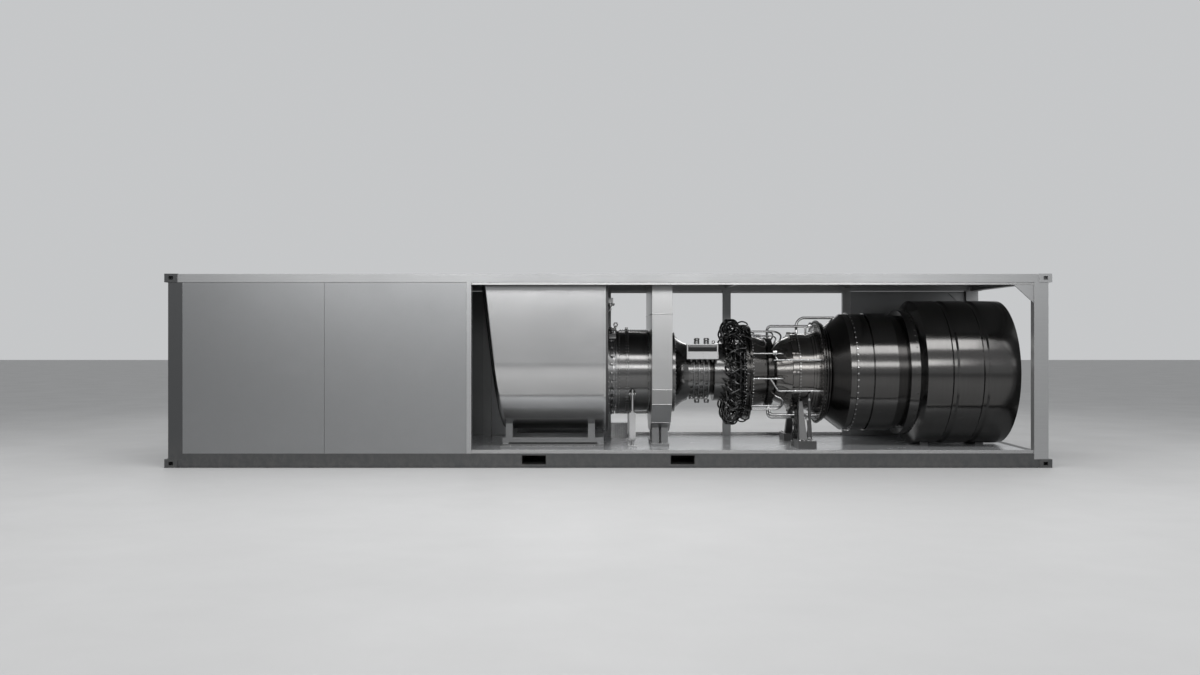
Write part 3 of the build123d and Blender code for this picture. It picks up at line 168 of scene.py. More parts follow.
def finish(name, low, high, metallic, rough, grain, relief, spread=0.07, edge=0.0, worn=None, dust=0.0,
           smears=0.0, **fixed):
    """A metal or painted surface: two tones, a grain with relief, worn edges, dust and smears."""
    look = Look(name)
    cloud = look.noise(CLOUD, 6.0, 0.55)
    fine = look.noise(grain, 6.0, 0.62)
    blend = look.math("ADD", look.math("MULTIPLY", cloud, CLOUD_SHARE),
                      look.math("MULTIPLY", fine, GRAIN_SHARE))
    colour = look.mix(look.spread(blend, 0.36, 0.64), low, high)
    roughness = look.spread(blend, 0.34, 0.66, rough + spread, rough - spread)
    if smears:
        mask = look.spread(look.noise(SMEAR, 8.0, 0.7), 0.54, 0.70, 0.0, smears)
        roughness = look.math("ADD", roughness, mask)
    if dust:
        height = look.add("ShaderNodeSeparateXYZ")
        look.feed(height, 0, look.place)
        low_down = look.spread(height.outputs["Z"], DUST_TOP, 0.0)
        speckle = look.spread(look.noise(SPECKLE, 8.0, 0.7), 0.40, 0.66)
        amount = look.math("MULTIPLY", look.math("MULTIPLY", low_down, speckle), dust)
        colour = look.mix(amount, colour, DUST_COLOUR)
        roughness = look.math("ADD", roughness, look.math("MULTIPLY", amount, DUST_ROUGHNESS))
    normal = None
    if edge:
        normal, mask = look.edges(edge)
        if worn:
            chips = look.spread(look.noise(CHIP, 8.0, 0.75), 0.44, 0.60)
            colour = look.mix(look.math("MULTIPLY", mask, chips), colour, worn)
    bump = look.add("ShaderNodeBump")
    look.feed(bump, "Strength", relief)
    look.feed(bump, "Distance", RELIEF_DEPTH)
    look.feed(bump, "Height", fine)
    if normal is not None:
        look.feed(bump, "Normal", normal)
    look.feed(look.shader, "Base Color", colour)
    look.feed(look.shader, "Roughness", roughness)
    look.feed(look.shader, "Normal", bump.outputs["Normal"])
    look.feed(look.shader, "Metallic", metallic)
    for socket, value in fixed.items():
        look.feed(look.shader, socket.replace("_", " "), value)
    return look.material


def tone(level, warm=0.0):
    """A grey, a little warm or cool."""
    return (level * (1 + warm), level, level * (1 - warm))


# each: low tone, high tone, metallic, roughness, grain, relief, then what differs from the usual
LOOKS = {
    "dark_frame": finish("dark_frame", tone(0.042, -0.03), tone(0.052, -0.03), 0.30, 0.38, EVEN, 0.10,
                         edge=0.005, worn=tone(0.12), dust=0.10),
    "light_frame": finish("light_frame", tone(0.27, -0.01), tone(0.31, -0.01), 0.60, 0.36, ALONG, 0.05,
                          edge=0.004, worn=tone(0.50)),
    "bright_trim": finish("bright_trim", tone(0.34), tone(0.42), 1.0, 0.28, ALONG, 0.08, edge=0.003),
    "panel_steel": finish("panel_steel", tone(0.23, -0.015), tone(0.26, -0.015), 1.0, 0.37, EVEN, 0.16,
                          spread=0.04, edge=0.003, smears=0.03),
    "roof_sheet": finish("roof_sheet", tone(0.33, -0.01), tone(0.38, -0.01), 0.20, 0.52, EVEN, 0.10,
                         smears=0.06),
    "deck_paint": finish("deck_paint", tone(0.34, -0.02), tone(0.39, -0.02), 0.25, 0.22, EVEN, 0.05,
                         spread=0.04, smears=0.10, Coat_Weight=0.2, Coat_Roughness=0.12),
    "pocket_steel": finish("pocket_steel", tone(0.016), tone(0.026), 0.3, 0.55, EVEN, 0.3, dust=0.15),
    "plenum_steel": finish("plenum_steel", tone(0.50), tone(0.54), 1.0, 0.20, ALONG, 0.04, spread=0.03,
                           smears=0.02),
    "plate_dark": finish("plate_dark", tone(0.050), tone(0.070), 0.60, 0.40, EVEN, 0.04, edge=0.004,
                         worn=tone(0.16)),
    "stand_paint": finish("stand_paint", tone(0.17, -0.01), tone(0.22, -0.01), 0.60, 0.34, EVEN, 0.06,
                          edge=0.004, worn=tone(0.38)),
    "strut_steel": finish("strut_steel", tone(0.50), tone(0.56), 1.0, 0.20, UPRIGHT, 0.02, edge=0.003),
    "inlet_alloy": finish("inlet_alloy", tone(0.14), tone(0.20), 1.0, 0.24, TURNED, 0.12, edge=0.003),
    "casing_alloy": finish("casing_alloy", tone(0.115, 0.01), tone(0.155, 0.01), 1.0, 0.17, TURNED, 0.12,
                           spread=0.04, smears=0.06, edge=0.003),
    "control_alloy": finish("control_alloy", tone(0.14), tone(0.20), 1.0, 0.26, TURNED, 0.10),
    "collector_steel": finish("collector_steel", tone(0.37), tone(0.40), 1.0, 0.30, UPRIGHT, 0.02,
                              spread=0.03, smears=0.02, edge=0.004),
    "box_metal": finish("box_metal", tone(0.44), tone(0.50), 0.5, 0.30, EVEN, 0.08, edge=0.003),
    "fuel_line": finish("fuel_line", tone(0.030), tone(0.055), 0.90, 0.17, EVEN, 0.04),
    "hot_alloy": finish("hot_alloy", tone(0.11, 0.05), tone(0.16, 0.02), 1.0, 0.17, TURNED, 0.12,
                        spread=0.04, smears=0.06, edge=0.003),
    "dark_alloy": finish("dark_alloy", tone(0.030, 0.03), tone(0.048, 0.03), 1.0, 0.20, TURNED, 0.10,
                         spread=0.04, smears=0.05, edge=0.003),
    "exhaust_steel": finish("exhaust_steel", tone(0.075, 0.02), tone(0.100, 0.02), 1.0, 0.15, TURNED, 0.06,
                            spread=0.03, smears=0.04, edge=0.003),
    "pipe_steel": finish("pipe_steel", tone(0.32), tone(0.42), 1.0, 0.20, EVEN, 0.06),
}

for row in frame["record"]["subparts"]:
    shown = frame["nodes"][row["node"]]
    shown.data.materials.clear()
    shown.data.materials.append(LOOKS[row["material_slot"]])

# ---------------------------------------------------------------------------------------------------
# Forms: each is a list of corners and a list of faces
# ---------------------------------------------------------------------------------------------------


def skin(rings, sides):
    """The faces of a closed body whose corners run in rings."""
    faces = [tuple(reversed(range(sides)))]
    for ring in range(rings - 1):
        for step in range(sides):
            a = ring * sides + step
            b = ring * sides + (step + 1) % sides
            faces.append((a, b, b + sides, a + sides))
    top = (rings - 1) * sides
    faces.append(tuple(range(top, top + sides)))
    return faces


def form(profile, sides):
    """A closed body from rings of (radius, height) about Z."""
    corners = []
    for radius, height in profile:
        for step in range(sides):
            turn = tau * step / sides
            corners.append(Vector((radius * cos(turn), radius * sin(turn), height)))
    return corners, skin(len(profile), sides)


def block(low, high, edge):
    """A box with rounded edges."""
    shape = bmesh.new()
    bmesh.ops.create_cube(shape, size=1.0)
    size = Vector(high) - Vector(low)
    middle = (Vector(high) + Vector(low)) / 2
    for corner in shape.verts:
        corner.co = middle + Vector(map(lambda a, b: a * b, corner.co, size))
    bmesh.ops.bevel(shape, geom=shape.edges[:], offset=edge, segments=2, affect="EDGES", profile=0.5)
    shape.verts.index_update()
    corners = [corner.co.copy() for corner in shape.verts]
    faces = [tuple(corner.index for corner in face.verts) for face in shape.faces]
    shape.free()
    return corners, faces


def moved(shape, matrix):
    corners, faces = shape
    return [matrix @ corner for corner in corners], faces


def joined(shapes):
    corners, faces = [], []
    for some_corners, some_faces in shapes:
        start = len(corners)
        corners += some_corners
        faces += [tuple(start + index for index in face) for face in some_faces]
    return corners, faces


def place(origin, out, size=1.0):
    """Where a form goes: its foot, the way it points and its size."""
    turn = Vector(out).to_track_quat("Z", "Y")
    return Matrix.LocRotScale(Vector(origin), turn, Vector((size, size, size)))


def sweep(path, radius, sides):
    """A round tube along points, closed at both ends."""
    path = [Vector(point) for point in path]
    runs = [(after - before).normalized() for before, after in zip(path, path[1:])]
    side = runs[0].orthogonal().normalized()
    corners = []
    for index, point in enumerate(path):
        before = runs[max(index - 1, 0)]
        after = runs[min(index, len(runs) - 1)]
        ahead = (before + after).normalized()
        side = (side - ahead * side.dot(ahead)).normalized()
        other = ahead.cross(side)
        for step in range(sides):
            turn = tau * step / sides
            corners.append(point + radius * (cos(turn) * side + sin(turn) * other))
    return corners, skin(len(path), sides)


def bend_at(before, corner, after, cut, steps):
    """The points of a soft bend in place of a corner."""
    start = corner + (before - corner).normalized() * cut
    stop = corner + (after - corner).normalized() * cut
    points = []
    for step in range(steps + 1):
        t = step / steps
        points.append((1 - t) ** 2 * start + 2 * t * (1 - t) * corner + t * t * stop)
    return points


BEND_STEPS = 6


def pipe(points, radius, bend, sides=12):
    """A rigid pipe: straight runs joined by bends."""
    points = [Vector(point) for point in points]
    path = [points[0]]
    for before, corner, after in zip(points, points[1:], points[2:]):
        cut = min(bend, (before - corner).length / 2, (after - corner).length / 2)
        path += bend_at(before, corner, after, cut, BEND_STEPS)
    path.append(points[-1])
    return sweep(path, radius, sides)


def loop(points, radius, sides=8, steps=5):
    """A bent tube that passes smoothly through points."""
    points = [Vector(point) for point in points]
    padded = [2 * points[0] - points[1]] + points + [2 * points[-1] - points[-2]]
    path = []
    for a, b, c, d in zip(padded, padded[1:], padded[2:], padded[3:]):
        for step in range(steps):
            t = step / steps
            path.append(0.5 * (2 * b + (c - a) * t + (2 * a - 5 * b + 4 * c - d) * t ** 2
                               + (3 * b - a - 3 * c + d) * t ** 3))
    path.append(points[-1])
    return sweep(path, radius, sides)


ROUND_STEPS = 3
ROUND_SHARE = 0.45      # how much of a side a rounded corner may take


def turned(outline, edge, sides=144):
    """A ring turned about the engine axis from (station, radius) points, its corners rounded."""
    points = [Vector(point) for point in outline]
    soft = []
    for index, corner in enumerate(points):
        before = points[index - 1]
        after = points[(index + 1) % len(points)]
        cut = min(edge, (before - corner).length * ROUND_SHARE, (after - corner).length * ROUND_SHARE)
        soft += bend_at(before, corner, after, cut, ROUND_STEPS)
    corners = []
    for step in range(sides):
        turn = tau * step / sides
        for station, radius in soft:
            corners.append(Vector((station, -radius * cos(turn), AXIS_Z + radius * sin(turn))))
    rows = len(soft)
    faces = []
    for step in range(sides):
        ahead = (step + 1) % sides
        for this in range(rows):
            below = (this + 1) % rows
            faces.append((step * rows + this, step * rows + below, ahead * rows + below, ahead * rows + this))
    return corners, faces


SHARP = radians(42)     # edges that turn more than this stay crisp


def piece(name, slot, shapes):
    """A shown piece made of forms, with its finish, riding on the part."""
    corners, faces = joined(shapes)
    mesh = bpy.data.meshes.new(name)
    mesh.from_pydata([tuple(corner) for corner in corners], [], faces)
    mesh.materials.append(LOOKS[slot])
    helper = bmesh.new()
    helper.from_mesh(mesh)
    bmesh.ops.recalc_face_normals(helper, faces=helper.faces[:])
    helper.to_mesh(mesh)
    helper.free()
    mesh.polygons.foreach_set("use_smooth", [True] * len(mesh.polygons))
    mesh.set_sharp_from_angle(angle=SHARP)
    mesh.update()
    shown = bpy.data.objects.new(name, mesh)
    bpy.context.scene.collection.objects.link(shown)
    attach(shown, BODY)


def around(station, radius, angle):
    """The point at a station, a distance from the axis and degrees above the near side."""
    turn = radians(angle)
    return Vector((station, -radius * cos(turn), AXIS_Z + radius * sin(turn)))


def outward(angle):
    turn = radians(angle)
    return Vector((0.0, -cos(turn), sin(turn)))


# Fasteners of unit radius, scaled where they are placed
HEAD = joined([form([(1.0, 0.0), (1.0, 0.14)], 10),
               form([(0.80, 0.14), (0.80, 0.62), (0.66, 0.74)], 6)])
STUD = joined([HEAD, form([(0.42, 0.74), (0.42, 1.00), (0.34, 1.08)], 8)])
CAP = form([(1.0, 0.0), (1.0, 0.55), (0.80, 0.72)], 16)

OUT, FORE, AFT = 0, -1, 1       # the way a fastener points: from the axis, to the inlet, to the exhaust


def ring_of(shape, size, station, radius, count, facing=OUT, start=0.0):
    """Fasteners round the engine."""
    shapes = []
    for index in range(count):
        angle = start + 360 * index / count
        out = outward(angle) if facing == OUT else Vector((facing, 0.0, 0.0))
        shapes.append(moved(shape, place(around(station, radius, angle), out, size)))
    return shapes


# ---------------------------------------------------------------------------------------------------
# Bolted flanges of the engine
# ---------------------------------------------------------------------------------------------------

# where the casings start and stop along the engine, and the radii of their flanges
GUIDE = ends("guide_vane_ring")
GUIDE_R = 0.632
GUIDE_BOLT_R = 0.619
FRONT = ends("front_compressor_casing")
FRONT_R = 0.630
FRONT_FLANGE = 0.026
FRONT_MID = FRONT[0] + 0.132
COLLECTOR = ends("bleed_collector")
NECK_FLANGE = COLLECTOR[1] + 0.035
NECK_FLANGE_WIDTH = 0.040
REAR = ends("rear_compressor_casing")
GROOVE_WIDTH = 0.064
GROOVE = (REAR[1], REAR[1] + GROOVE_WIDTH)
MAIN_FACE = GROOVE[1] + 0.436
MAIN_R = reach("combustor_casing")
MAIN_LIP = 0.032
MAIN_BOLT_DROP = 0.016
COMBUSTOR_X = MAIN_FACE + 0.090
DARK = ends("turbine_mid_flange")
HOT_REAR = ends("rear_turbine_casing")
HOT_BOSS_R = 0.570
RINGS = ends("rear_flange_rings")
RIM = (RINGS[0] + 0.108, RINGS[0] + 0.136)
RIM_R = 0.770
BAND = ends("exhaust_band")
BAND_R = 0.882
COLLAR = ends("exhaust_collar")
COLLAR_R = 0.930

FRONT_BOLT = 0.011
FRONT_BOLTS = 72
piece("front_compressor_bolts", "control_alloy",
      ring_of(STUD, FRONT_BOLT, FRONT[0] + FRONT_FLANGE, FRONT_R - 0.011, FRONT_BOLTS, AFT)
      + ring_of(HEAD, FRONT_BOLT, FRONT_MID, FRONT_R - 0.010, FRONT_BOLTS, FORE)
      + ring_of(STUD, FRONT_BOLT, FRONT_MID + FRONT_FLANGE, FRONT_R - 0.010, FRONT_BOLTS, AFT)
      + ring_of(HEAD, 0.012, FRONT[1] - FRONT_FLANGE, FRONT_R - 0.013, FRONT_BOLTS, FORE))

SPLIT_PITCH = 0.031     # along the joint between the casing's halves
SPLIT_HALF = 0.019      # from the joint to its bolts
split_bolts = []
station = FRONT[0] + FRONT_FLANGE + SPLIT_PITCH
while station < FRONT[1] - FRONT_FLANGE - SPLIT_PITCH / 2:
    if abs(station - FRONT_MID - FRONT_FLANGE / 2) > FRONT_FLANGE:
        for height, side in ((1, 1), (1, -1), (-1, 1), (-1, -1)):
            foot = (station, SPLIT_HALF * side, AXIS_Z + height * (FRONT_R - 0.006))
            split_bolts.append(moved(STUD, place(foot, (0, 0, height), FRONT_BOLT)))
    station += SPLIT_PITCH
piece("split_joint_bolts", "pipe_steel", split_bolts)

piece("guide_ring_bolts", "pipe_steel",
      ring_of(HEAD, 0.010, GUIDE[0] + 0.018, GUIDE_BOLT_R, 60, AFT)
      + ring_of(HEAD, 0.010, GUIDE[1] - 0.018, GUIDE_BOLT_R, 60, FORE)
      + ring_of(CAP, 0.014, GUIDE[0] + 0.053, GUIDE_R, 30))

piece("neck_bolts", "control_alloy",
      ring_of(HEAD, 0.013, NECK_FLANGE + NECK_FLANGE_WIDTH, 0.588, 64, AFT)
      + ring_of(HEAD, 0.012, NECK_FLANGE, 0.585, 64, FORE))


def band(start, stop, inner, outer, edge):
    """A ring that is fitted over a casing."""
    return turned([(start, inner), (start, outer), (stop, outer), (stop, inner)], edge)


def hoop(station, radius, tube_radius, sides=10, steps=96):
    """A tube ring round the engine."""
    outline = []
    for step in range(sides):
        turn = tau * step / sides
        outline.append((station + tube_radius * cos(turn), radius + tube_radius * sin(turn)))
    return turned(outline, 0.0, steps)


LAP = 0.0025    # how far a fitted ring stands off the casing
# The last band is a dark ring laid in the groove behind the rear compressor: painted shade of the groove.
piece("main_flange_bands_and_groove_shade", "dark_alloy",
      [band(MAIN_FACE - LAP, MAIN_FACE + MAIN_LIP + LAP, 0.640, MAIN_R + LAP, 0.004),
       band(COMBUSTOR_X - MAIN_LIP - LAP, COMBUSTOR_X + LAP, 0.610, MAIN_R + LAP, 0.004),
       band(GROOVE[0] + 0.001, GROOVE[1] - 0.001, 0.340, 0.352, 0.001)])
piece("main_flange_bolts", "pipe_steel",
      ring_of(HEAD, 0.012, MAIN_FACE - LAP, MAIN_R - MAIN_BOLT_DROP, 88, FORE)
      + ring_of(STUD, 0.012, COMBUSTOR_X + LAP, MAIN_R - MAIN_BOLT_DROP, 88, AFT))

piece("mid_flange_bolts", "dark_alloy",
      ring_of(HEAD, 0.012, DARK[0], 0.503, 60, FORE) + ring_of(HEAD, 0.012, DARK[1], 0.500, 60, AFT))

piece("rear_turbine_bolts", "pipe_steel", ring_of(HEAD, 0.010, HOT_REAR[0] + 0.103, 0.592, 76))
piece("turbine_bosses", "hot_alloy",
      ring_of(CAP, 0.034, HOT_REAR[0] + 0.018, HOT_BOSS_R, 12, OUT, 90)
      + ring_of(CAP, 0.026, HOT_REAR[0] + 0.072, HOT_BOSS_R, 12, OUT, 90))

piece("rim_rings", "dark_alloy",
      [band(RIM[0] - LAP, RIM[1] + LAP, 0.700, RIM_R + LAP, 0.010),
       hoop(RIM[1] + 0.034, 0.716, 0.026, 16, 144), hoop(RIM[1] + 0.074, 0.694, 0.019, 14, 144)])
piece("rim_bolts", "hot_alloy",
      ring_of(STUD, 0.012, RIM[0] - LAP, 0.744, 72, FORE)
      + ring_of(HEAD, 0.012, RIM[1] + LAP, 0.752, 72, AFT))

piece("band_bolts", "pipe_steel", ring_of(HEAD, 0.013, BAND[0] + 0.097, BAND_R, 60))
piece("collar_bolts", "exhaust_steel", ring_of(HEAD, 0.012, COLLAR[1] - 0.030, COLLAR_R, 60))

# ---------------------------------------------------------------------------------------------------
# Inlet end: blocks, lifting eyes, sensors and the ring of the levers
# ---------------------------------------------------------------------------------------------------


def brick(low, high, edge, station, radius, angle):
    """A rounded block that stands on the engine: its box is along the engine, across and outward."""
    out = outward(angle)
    across = out.cross(Vector((1.0, 0.0, 0.0)))
    turn = Matrix((Vector((1.0, 0.0, 0.0)), across, out)).transposed().to_4x4()
    return moved(block(low, high, edge), Matrix.Translation(around(station, radius, angle)) @ turn)


EYE_STEPS = 32
EYE_LIFT = 0.02         # from the foot to the underside of the ring


def eye(foot, radius, thickness, axis):
    """A lifting eye: a stem and a ring on it."""
    foot, axis = Vector(foot), Vector(axis)
    rise = Vector((0.0, 0.0, 1.0))
    middle = foot + rise * (radius + EYE_LIFT)
    side = axis.cross(rise)
    path = []
    for step in range(EYE_STEPS + 1):
        turn = tau * step / EYE_STEPS
        path.append(middle + radius * (cos(turn) * side + sin(turn) * rise))
    stem = form([(0.020, 0.0), (0.020, 0.014), (0.012, 0.026)], 16)
    return [sweep(path, thickness, 10), moved(stem, place(foot, rise))]


inlet_blocks = [
    brick((-0.055, -0.045, 0.0), (0.050, 0.045, 0.032), 0.006, GUIDE[0] + 0.072, GUIDE_R, 55),
    brick((-0.060, -0.075, 0.0), (0.060, 0.075, 0.040), 0.006, GUIDE[0] + 0.070, GUIDE_R, 80),
    brick((-0.020, -0.030, 0.0), (0.020, 0.030, 0.040), 0.005,
          FRONT_MID + FRONT_FLANGE / 2, FRONT_R - 0.002, 90),
]
piece("inlet_blocks", "box_metal", inlet_blocks[:1])
piece("inlet_brackets", "casing_alloy", inlet_blocks[1:])
EYE_Y = 0.108
lifting_eyes = []
for side in (-1, 1):
    lifting_eyes += eye((GUIDE[0] + 0.122, side * EYE_Y, AXIS_Z + 0.664), 0.026, 0.009, (0, 1, 0))
piece("lifting_eye", "strut_steel", lifting_eyes)

BOX_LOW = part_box("sensor_boxes")[0]
SENSOR_Y = 0.26
SENSOR_NUT = form([(0.026, 0.0), (0.026, 0.030), (0.018, 0.044)], 6)
SENSOR_STUB = form([(0.011, 0.0), (0.011, 0.036), (0.008, 0.040)], 10)
SENSOR_GLAND = form([(0.014, 0.0), (0.014, 0.022), (0.010, 0.026)], 6)
DOWN = Vector((0.0, 0.0, -1.0))
sensors = []
for side in (-1, 1):
    foot = Vector((BOX_LOW.x + 0.042, side * SENSOR_Y, BOX_LOW.z))
    sensors += [
        moved(SENSOR_NUT, place(foot, DOWN)),
        moved(SENSOR_STUB, place(foot + Vector((0.022, 0.0, -0.016)), (1, 0, 0))),
        pipe([foot + Vector((0.0, 0.0, -0.040)), foot + Vector((0.0, 0.0, -0.090)),
              (BOX_LOW.x - 0.001, foot.y, foot.z - 0.130)], 0.009, 0.03, 10),
        moved(SENSOR_GLAND, place(foot + Vector((0.0, 0.0, -0.078)), DOWN)),
    ]
piece("sensor_fittings", "pipe_steel", sensors)

# ring that links the guide vane levers
piece("guide_vane_link", "pipe_steel", [band(GUIDE[0] + 0.080, GUIDE[0] + 0.094, 0.600, 0.616, 0.003)])

# ---------------------------------------------------------------------------------------------------
# Bleed collector: weld beads on the facet edges and the flanged seam
# ---------------------------------------------------------------------------------------------------

FACETS = ((0.228, 22.5), (0.393, 45.0), (0.405, 67.5))     # length and lean of the lower facets
BEAD = 0.0055
BEAD_INSET = 0.002
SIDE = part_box("bleed_collector")[1].y
corner = Vector((0.0, SIDE, AXIS_Z - 0.227))
corners_of_facets = [corner]
for length, lean in FACETS:
    corner = corner + Vector((0.0, -length * sin(radians(lean)), -length * cos(radians(lean))))
    corners_of_facets.append(corner)
beads = []
for corner in corners_of_facets:
    for side in (-1, 1):
        start = Vector((COLLECTOR[0] + BEAD_INSET, side * corner.y, corner.z))
        run = Vector((COLLECTOR[1] - COLLECTOR[0] - 2 * BEAD_INSET, 0.0, 0.0))
        beads.append(sweep([start, start + run], BEAD, 8))
SEAM_Z = 2.122
SEAM_OUT = 0.012
SEAM_HALF = 0.006
for face_x in COLLECTOR:
    beads.append(block((face_x - SEAM_HALF, -SIDE - SEAM_OUT, SEAM_Z - SEAM_HALF),
                       (face_x + SEAM_HALF, SIDE + SEAM_OUT, SEAM_Z + SEAM_HALF), 0.002))
for side in (-1, 1):
    beads.append(block((COLLECTOR[0], side * SIDE - SEAM_OUT, SEAM_Z - SEAM_HALF),
                       (COLLECTOR[1], side * SIDE + SEAM_OUT, SEAM_Z + SEAM_HALF), 0.002))
piece("collector_beads", "bright_trim", beads)

# ---------------------------------------------------------------------------------------------------
# Rear compressor: control box face, connectors and actuators
# ---------------------------------------------------------------------------------------------------

PANEL_LOW, PANEL_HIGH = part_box("control_box")
PANEL_RIM = 0.018       # border left round the face
PANEL_SUNK = 0.002      # how far the face goes into the box
FACE_OUT = 0.010        # how far the lower face stands out
SCREW_INSET = 0.034
PLUGS = 5
PLUG_PITCH = 0.078
PLUG = form([(0.020, 0.0), (0.020, 0.016), (0.015, 0.018), (0.015, 0.040), (0.011, 0.046)], 14)
FACE_Y = PANEL_LOW.y + 0.012
MIDDLE_Z = PANEL_LOW.z + 0.47 * (PANEL_HIGH.z - PANEL_LOW.z)
# A near-black block in the sunk upper half of the face: painted shade of the recess.
piece("control_box_recess_shade", "fuel_line",
      [block((PANEL_LOW.x + PANEL_RIM, FACE_Y - 0.004, MIDDLE_Z + 0.006),
             (PANEL_HIGH.x - PANEL_RIM, FACE_Y + PANEL_SUNK, PANEL_HIGH.z - PANEL_RIM), 0.0015)])
lower_face = [block((PANEL_LOW.x + PANEL_RIM, FACE_Y - FACE_OUT, PANEL_LOW.z + PANEL_RIM),
                    (PANEL_HIGH.x - PANEL_RIM, FACE_Y + PANEL_SUNK, MIDDLE_Z), 0.003)]
for x in (PANEL_LOW.x + SCREW_INSET, (PANEL_LOW.x + PANEL_HIGH.x) / 2, PANEL_HIGH.x - SCREW_INSET):
    for z in (PANEL_LOW.z + SCREW_INSET, MIDDLE_Z - 0.016):
        lower_face.append(moved(HEAD, place((x, FACE_Y - FACE_OUT, z), (0, -1, 0), 0.007)))
piece("control_box_face", "bright_trim", lower_face)
plugs = []
for index in range(PLUGS):
    x = PANEL_LOW.x + 0.070 + index * PLUG_PITCH
    plugs.append(moved(PLUG, place((x, (PANEL_LOW.y + PANEL_HIGH.y) / 2, PANEL_LOW.z), DOWN)))
piece("control_box_plugs", "control_alloy", plugs)

ACTUATORS = (REAR[0] + 0.157, REAR[0] + 0.301)
ACTUATOR_R = 0.4165
TALL = form([(0.041, 0.0), (0.041, 0.046), (0.034, 0.049), (0.034, 0.058), (0.043, 0.061), (0.043, 0.082),
             (0.030, 0.092)], 24)
LOW = form([(0.041, 0.0), (0.041, 0.028), (0.034, 0.030), (0.034, 0.036), (0.040, 0.038),
            (0.030, 0.050)], 24)
BUTTON = form([(0.024, 0.0), (0.024, 0.020), (0.018, 0.034)], 18)
caps = []
for x in ACTUATORS:
    caps.append(moved(TALL, place(around(x, ACTUATOR_R, 90), outward(90))))
    caps.append(moved(LOW, place(around(x, ACTUATOR_R, -90), outward(-90))))
caps.append(moved(BUTTON, place(around(GROOVE[1] + 0.020, 0.434, 90), outward(90))))
piece("actuator_caps", "strut_steel", caps)

# ---------------------------------------------------------------------------------------------------
# Fuel tubes
# ---------------------------------------------------------------------------------------------------

INJECTORS = 16
PITCH = 360 / INJECTORS
INJECTOR_X = GROOVE[1] + 0.190
INJECTOR_TOP = 0.520

NUT_LOW = form([(0.030, 0.0), (0.030, 0.026), (0.024, 0.032)], 6)
NUT_HIGH = form([(0.021, 0.032), (0.021, 0.058), (0.016, 0.066)], 6)

# thin leads at each injector: thickness, then points as (station, radius, angle from the injector)
LEADS = (
    # loops over and crosses to the next injector
    (0.014, ((MAIN_FACE, 0.672, -7), (MAIN_FACE - 0.05, 0.700, -6), (MAIN_FACE - 0.10, 0.752, -3),
             (MAIN_FACE - 0.17, 0.772, 1), (INJECTOR_X - 0.02, 0.735, 6), (INJECTOR_X - 0.058, 0.650, 8),
             (INJECTOR_X - 0.045, 0.560, 5), (INJECTOR_X - 0.028, 0.500, 2))),
    # low diagonal
    (0.012, ((MAIN_FACE, 0.640, 4), (MAIN_FACE - 0.06, 0.646, 5), (MAIN_FACE - 0.12, 0.628, 8),
             (INJECTOR_X + 0.05, 0.590, 13), (INJECTOR_X, 0.552, 17), (INJECTOR_X - 0.03, 0.512, 21))),
    # hairpin between neighbours
    (0.012, ((MAIN_FACE - 0.035, 0.655, 10), (MAIN_FACE - 0.06, 0.716, 10), (MAIN_FACE - 0.11, 0.782, 11.25),
             (MAIN_FACE - 0.18, 0.790, 12.5), (MAIN_FACE - 0.23, 0.742, 14), (MAIN_FACE - 0.24, 0.672, 15),
             (MAIN_FACE - 0.20, 0.610, 16), (MAIN_FACE - 0.14, 0.584, 16))),
    # return over the flanges
    (0.011, ((MAIN_FACE - 0.07, 0.700, 2), (MAIN_FACE - 0.03, 0.742, 1), (MAIN_FACE + 0.03, 0.752, -1),
             (MAIN_FACE + 0.082, 0.728, -3), (MAIN_FACE + 0.095, 0.690, -4))),
)
# rings that gather the leads: station, radius, thickness
LEAD_HOOPS = ((MAIN_FACE - 0.150, 0.590, 0.017), (MAIN_FACE - 0.085, 0.668, 0.015),
              (MAIN_FACE - 0.200, 0.545, 0.013))

tubes = []
fittings = []
for index in range(INJECTORS):
    angle = index * PITCH
    foot = around(INJECTOR_X, INJECTOR_TOP, angle)
    for nut in (NUT_LOW, NUT_HIGH):
        fittings.append(moved(nut, place(foot, outward(angle))))
    for thickness, route in LEADS:
        points = [around(station, radius, angle + ahead) for station, radius, ahead in route]
        tubes.append(loop(points, thickness))
for hoop_at in LEAD_HOOPS:
    tubes.append(hoop(*hoop_at))
piece("fuel_leads", "fuel_line", tubes)
piece("injector_fittings", "control_alloy", fittings)

# ---------------------------------------------------------------------------------------------------
# Small pipes on the combustor and the turbines
# ---------------------------------------------------------------------------------------------------

def on_side(side, station, radius, angle):
    """A point round the engine, on the near side (1) or mirrored to the far side (-1)."""
    point = around(station, radius, angle)
    return Vector((point.x, point.y * side, point.z))


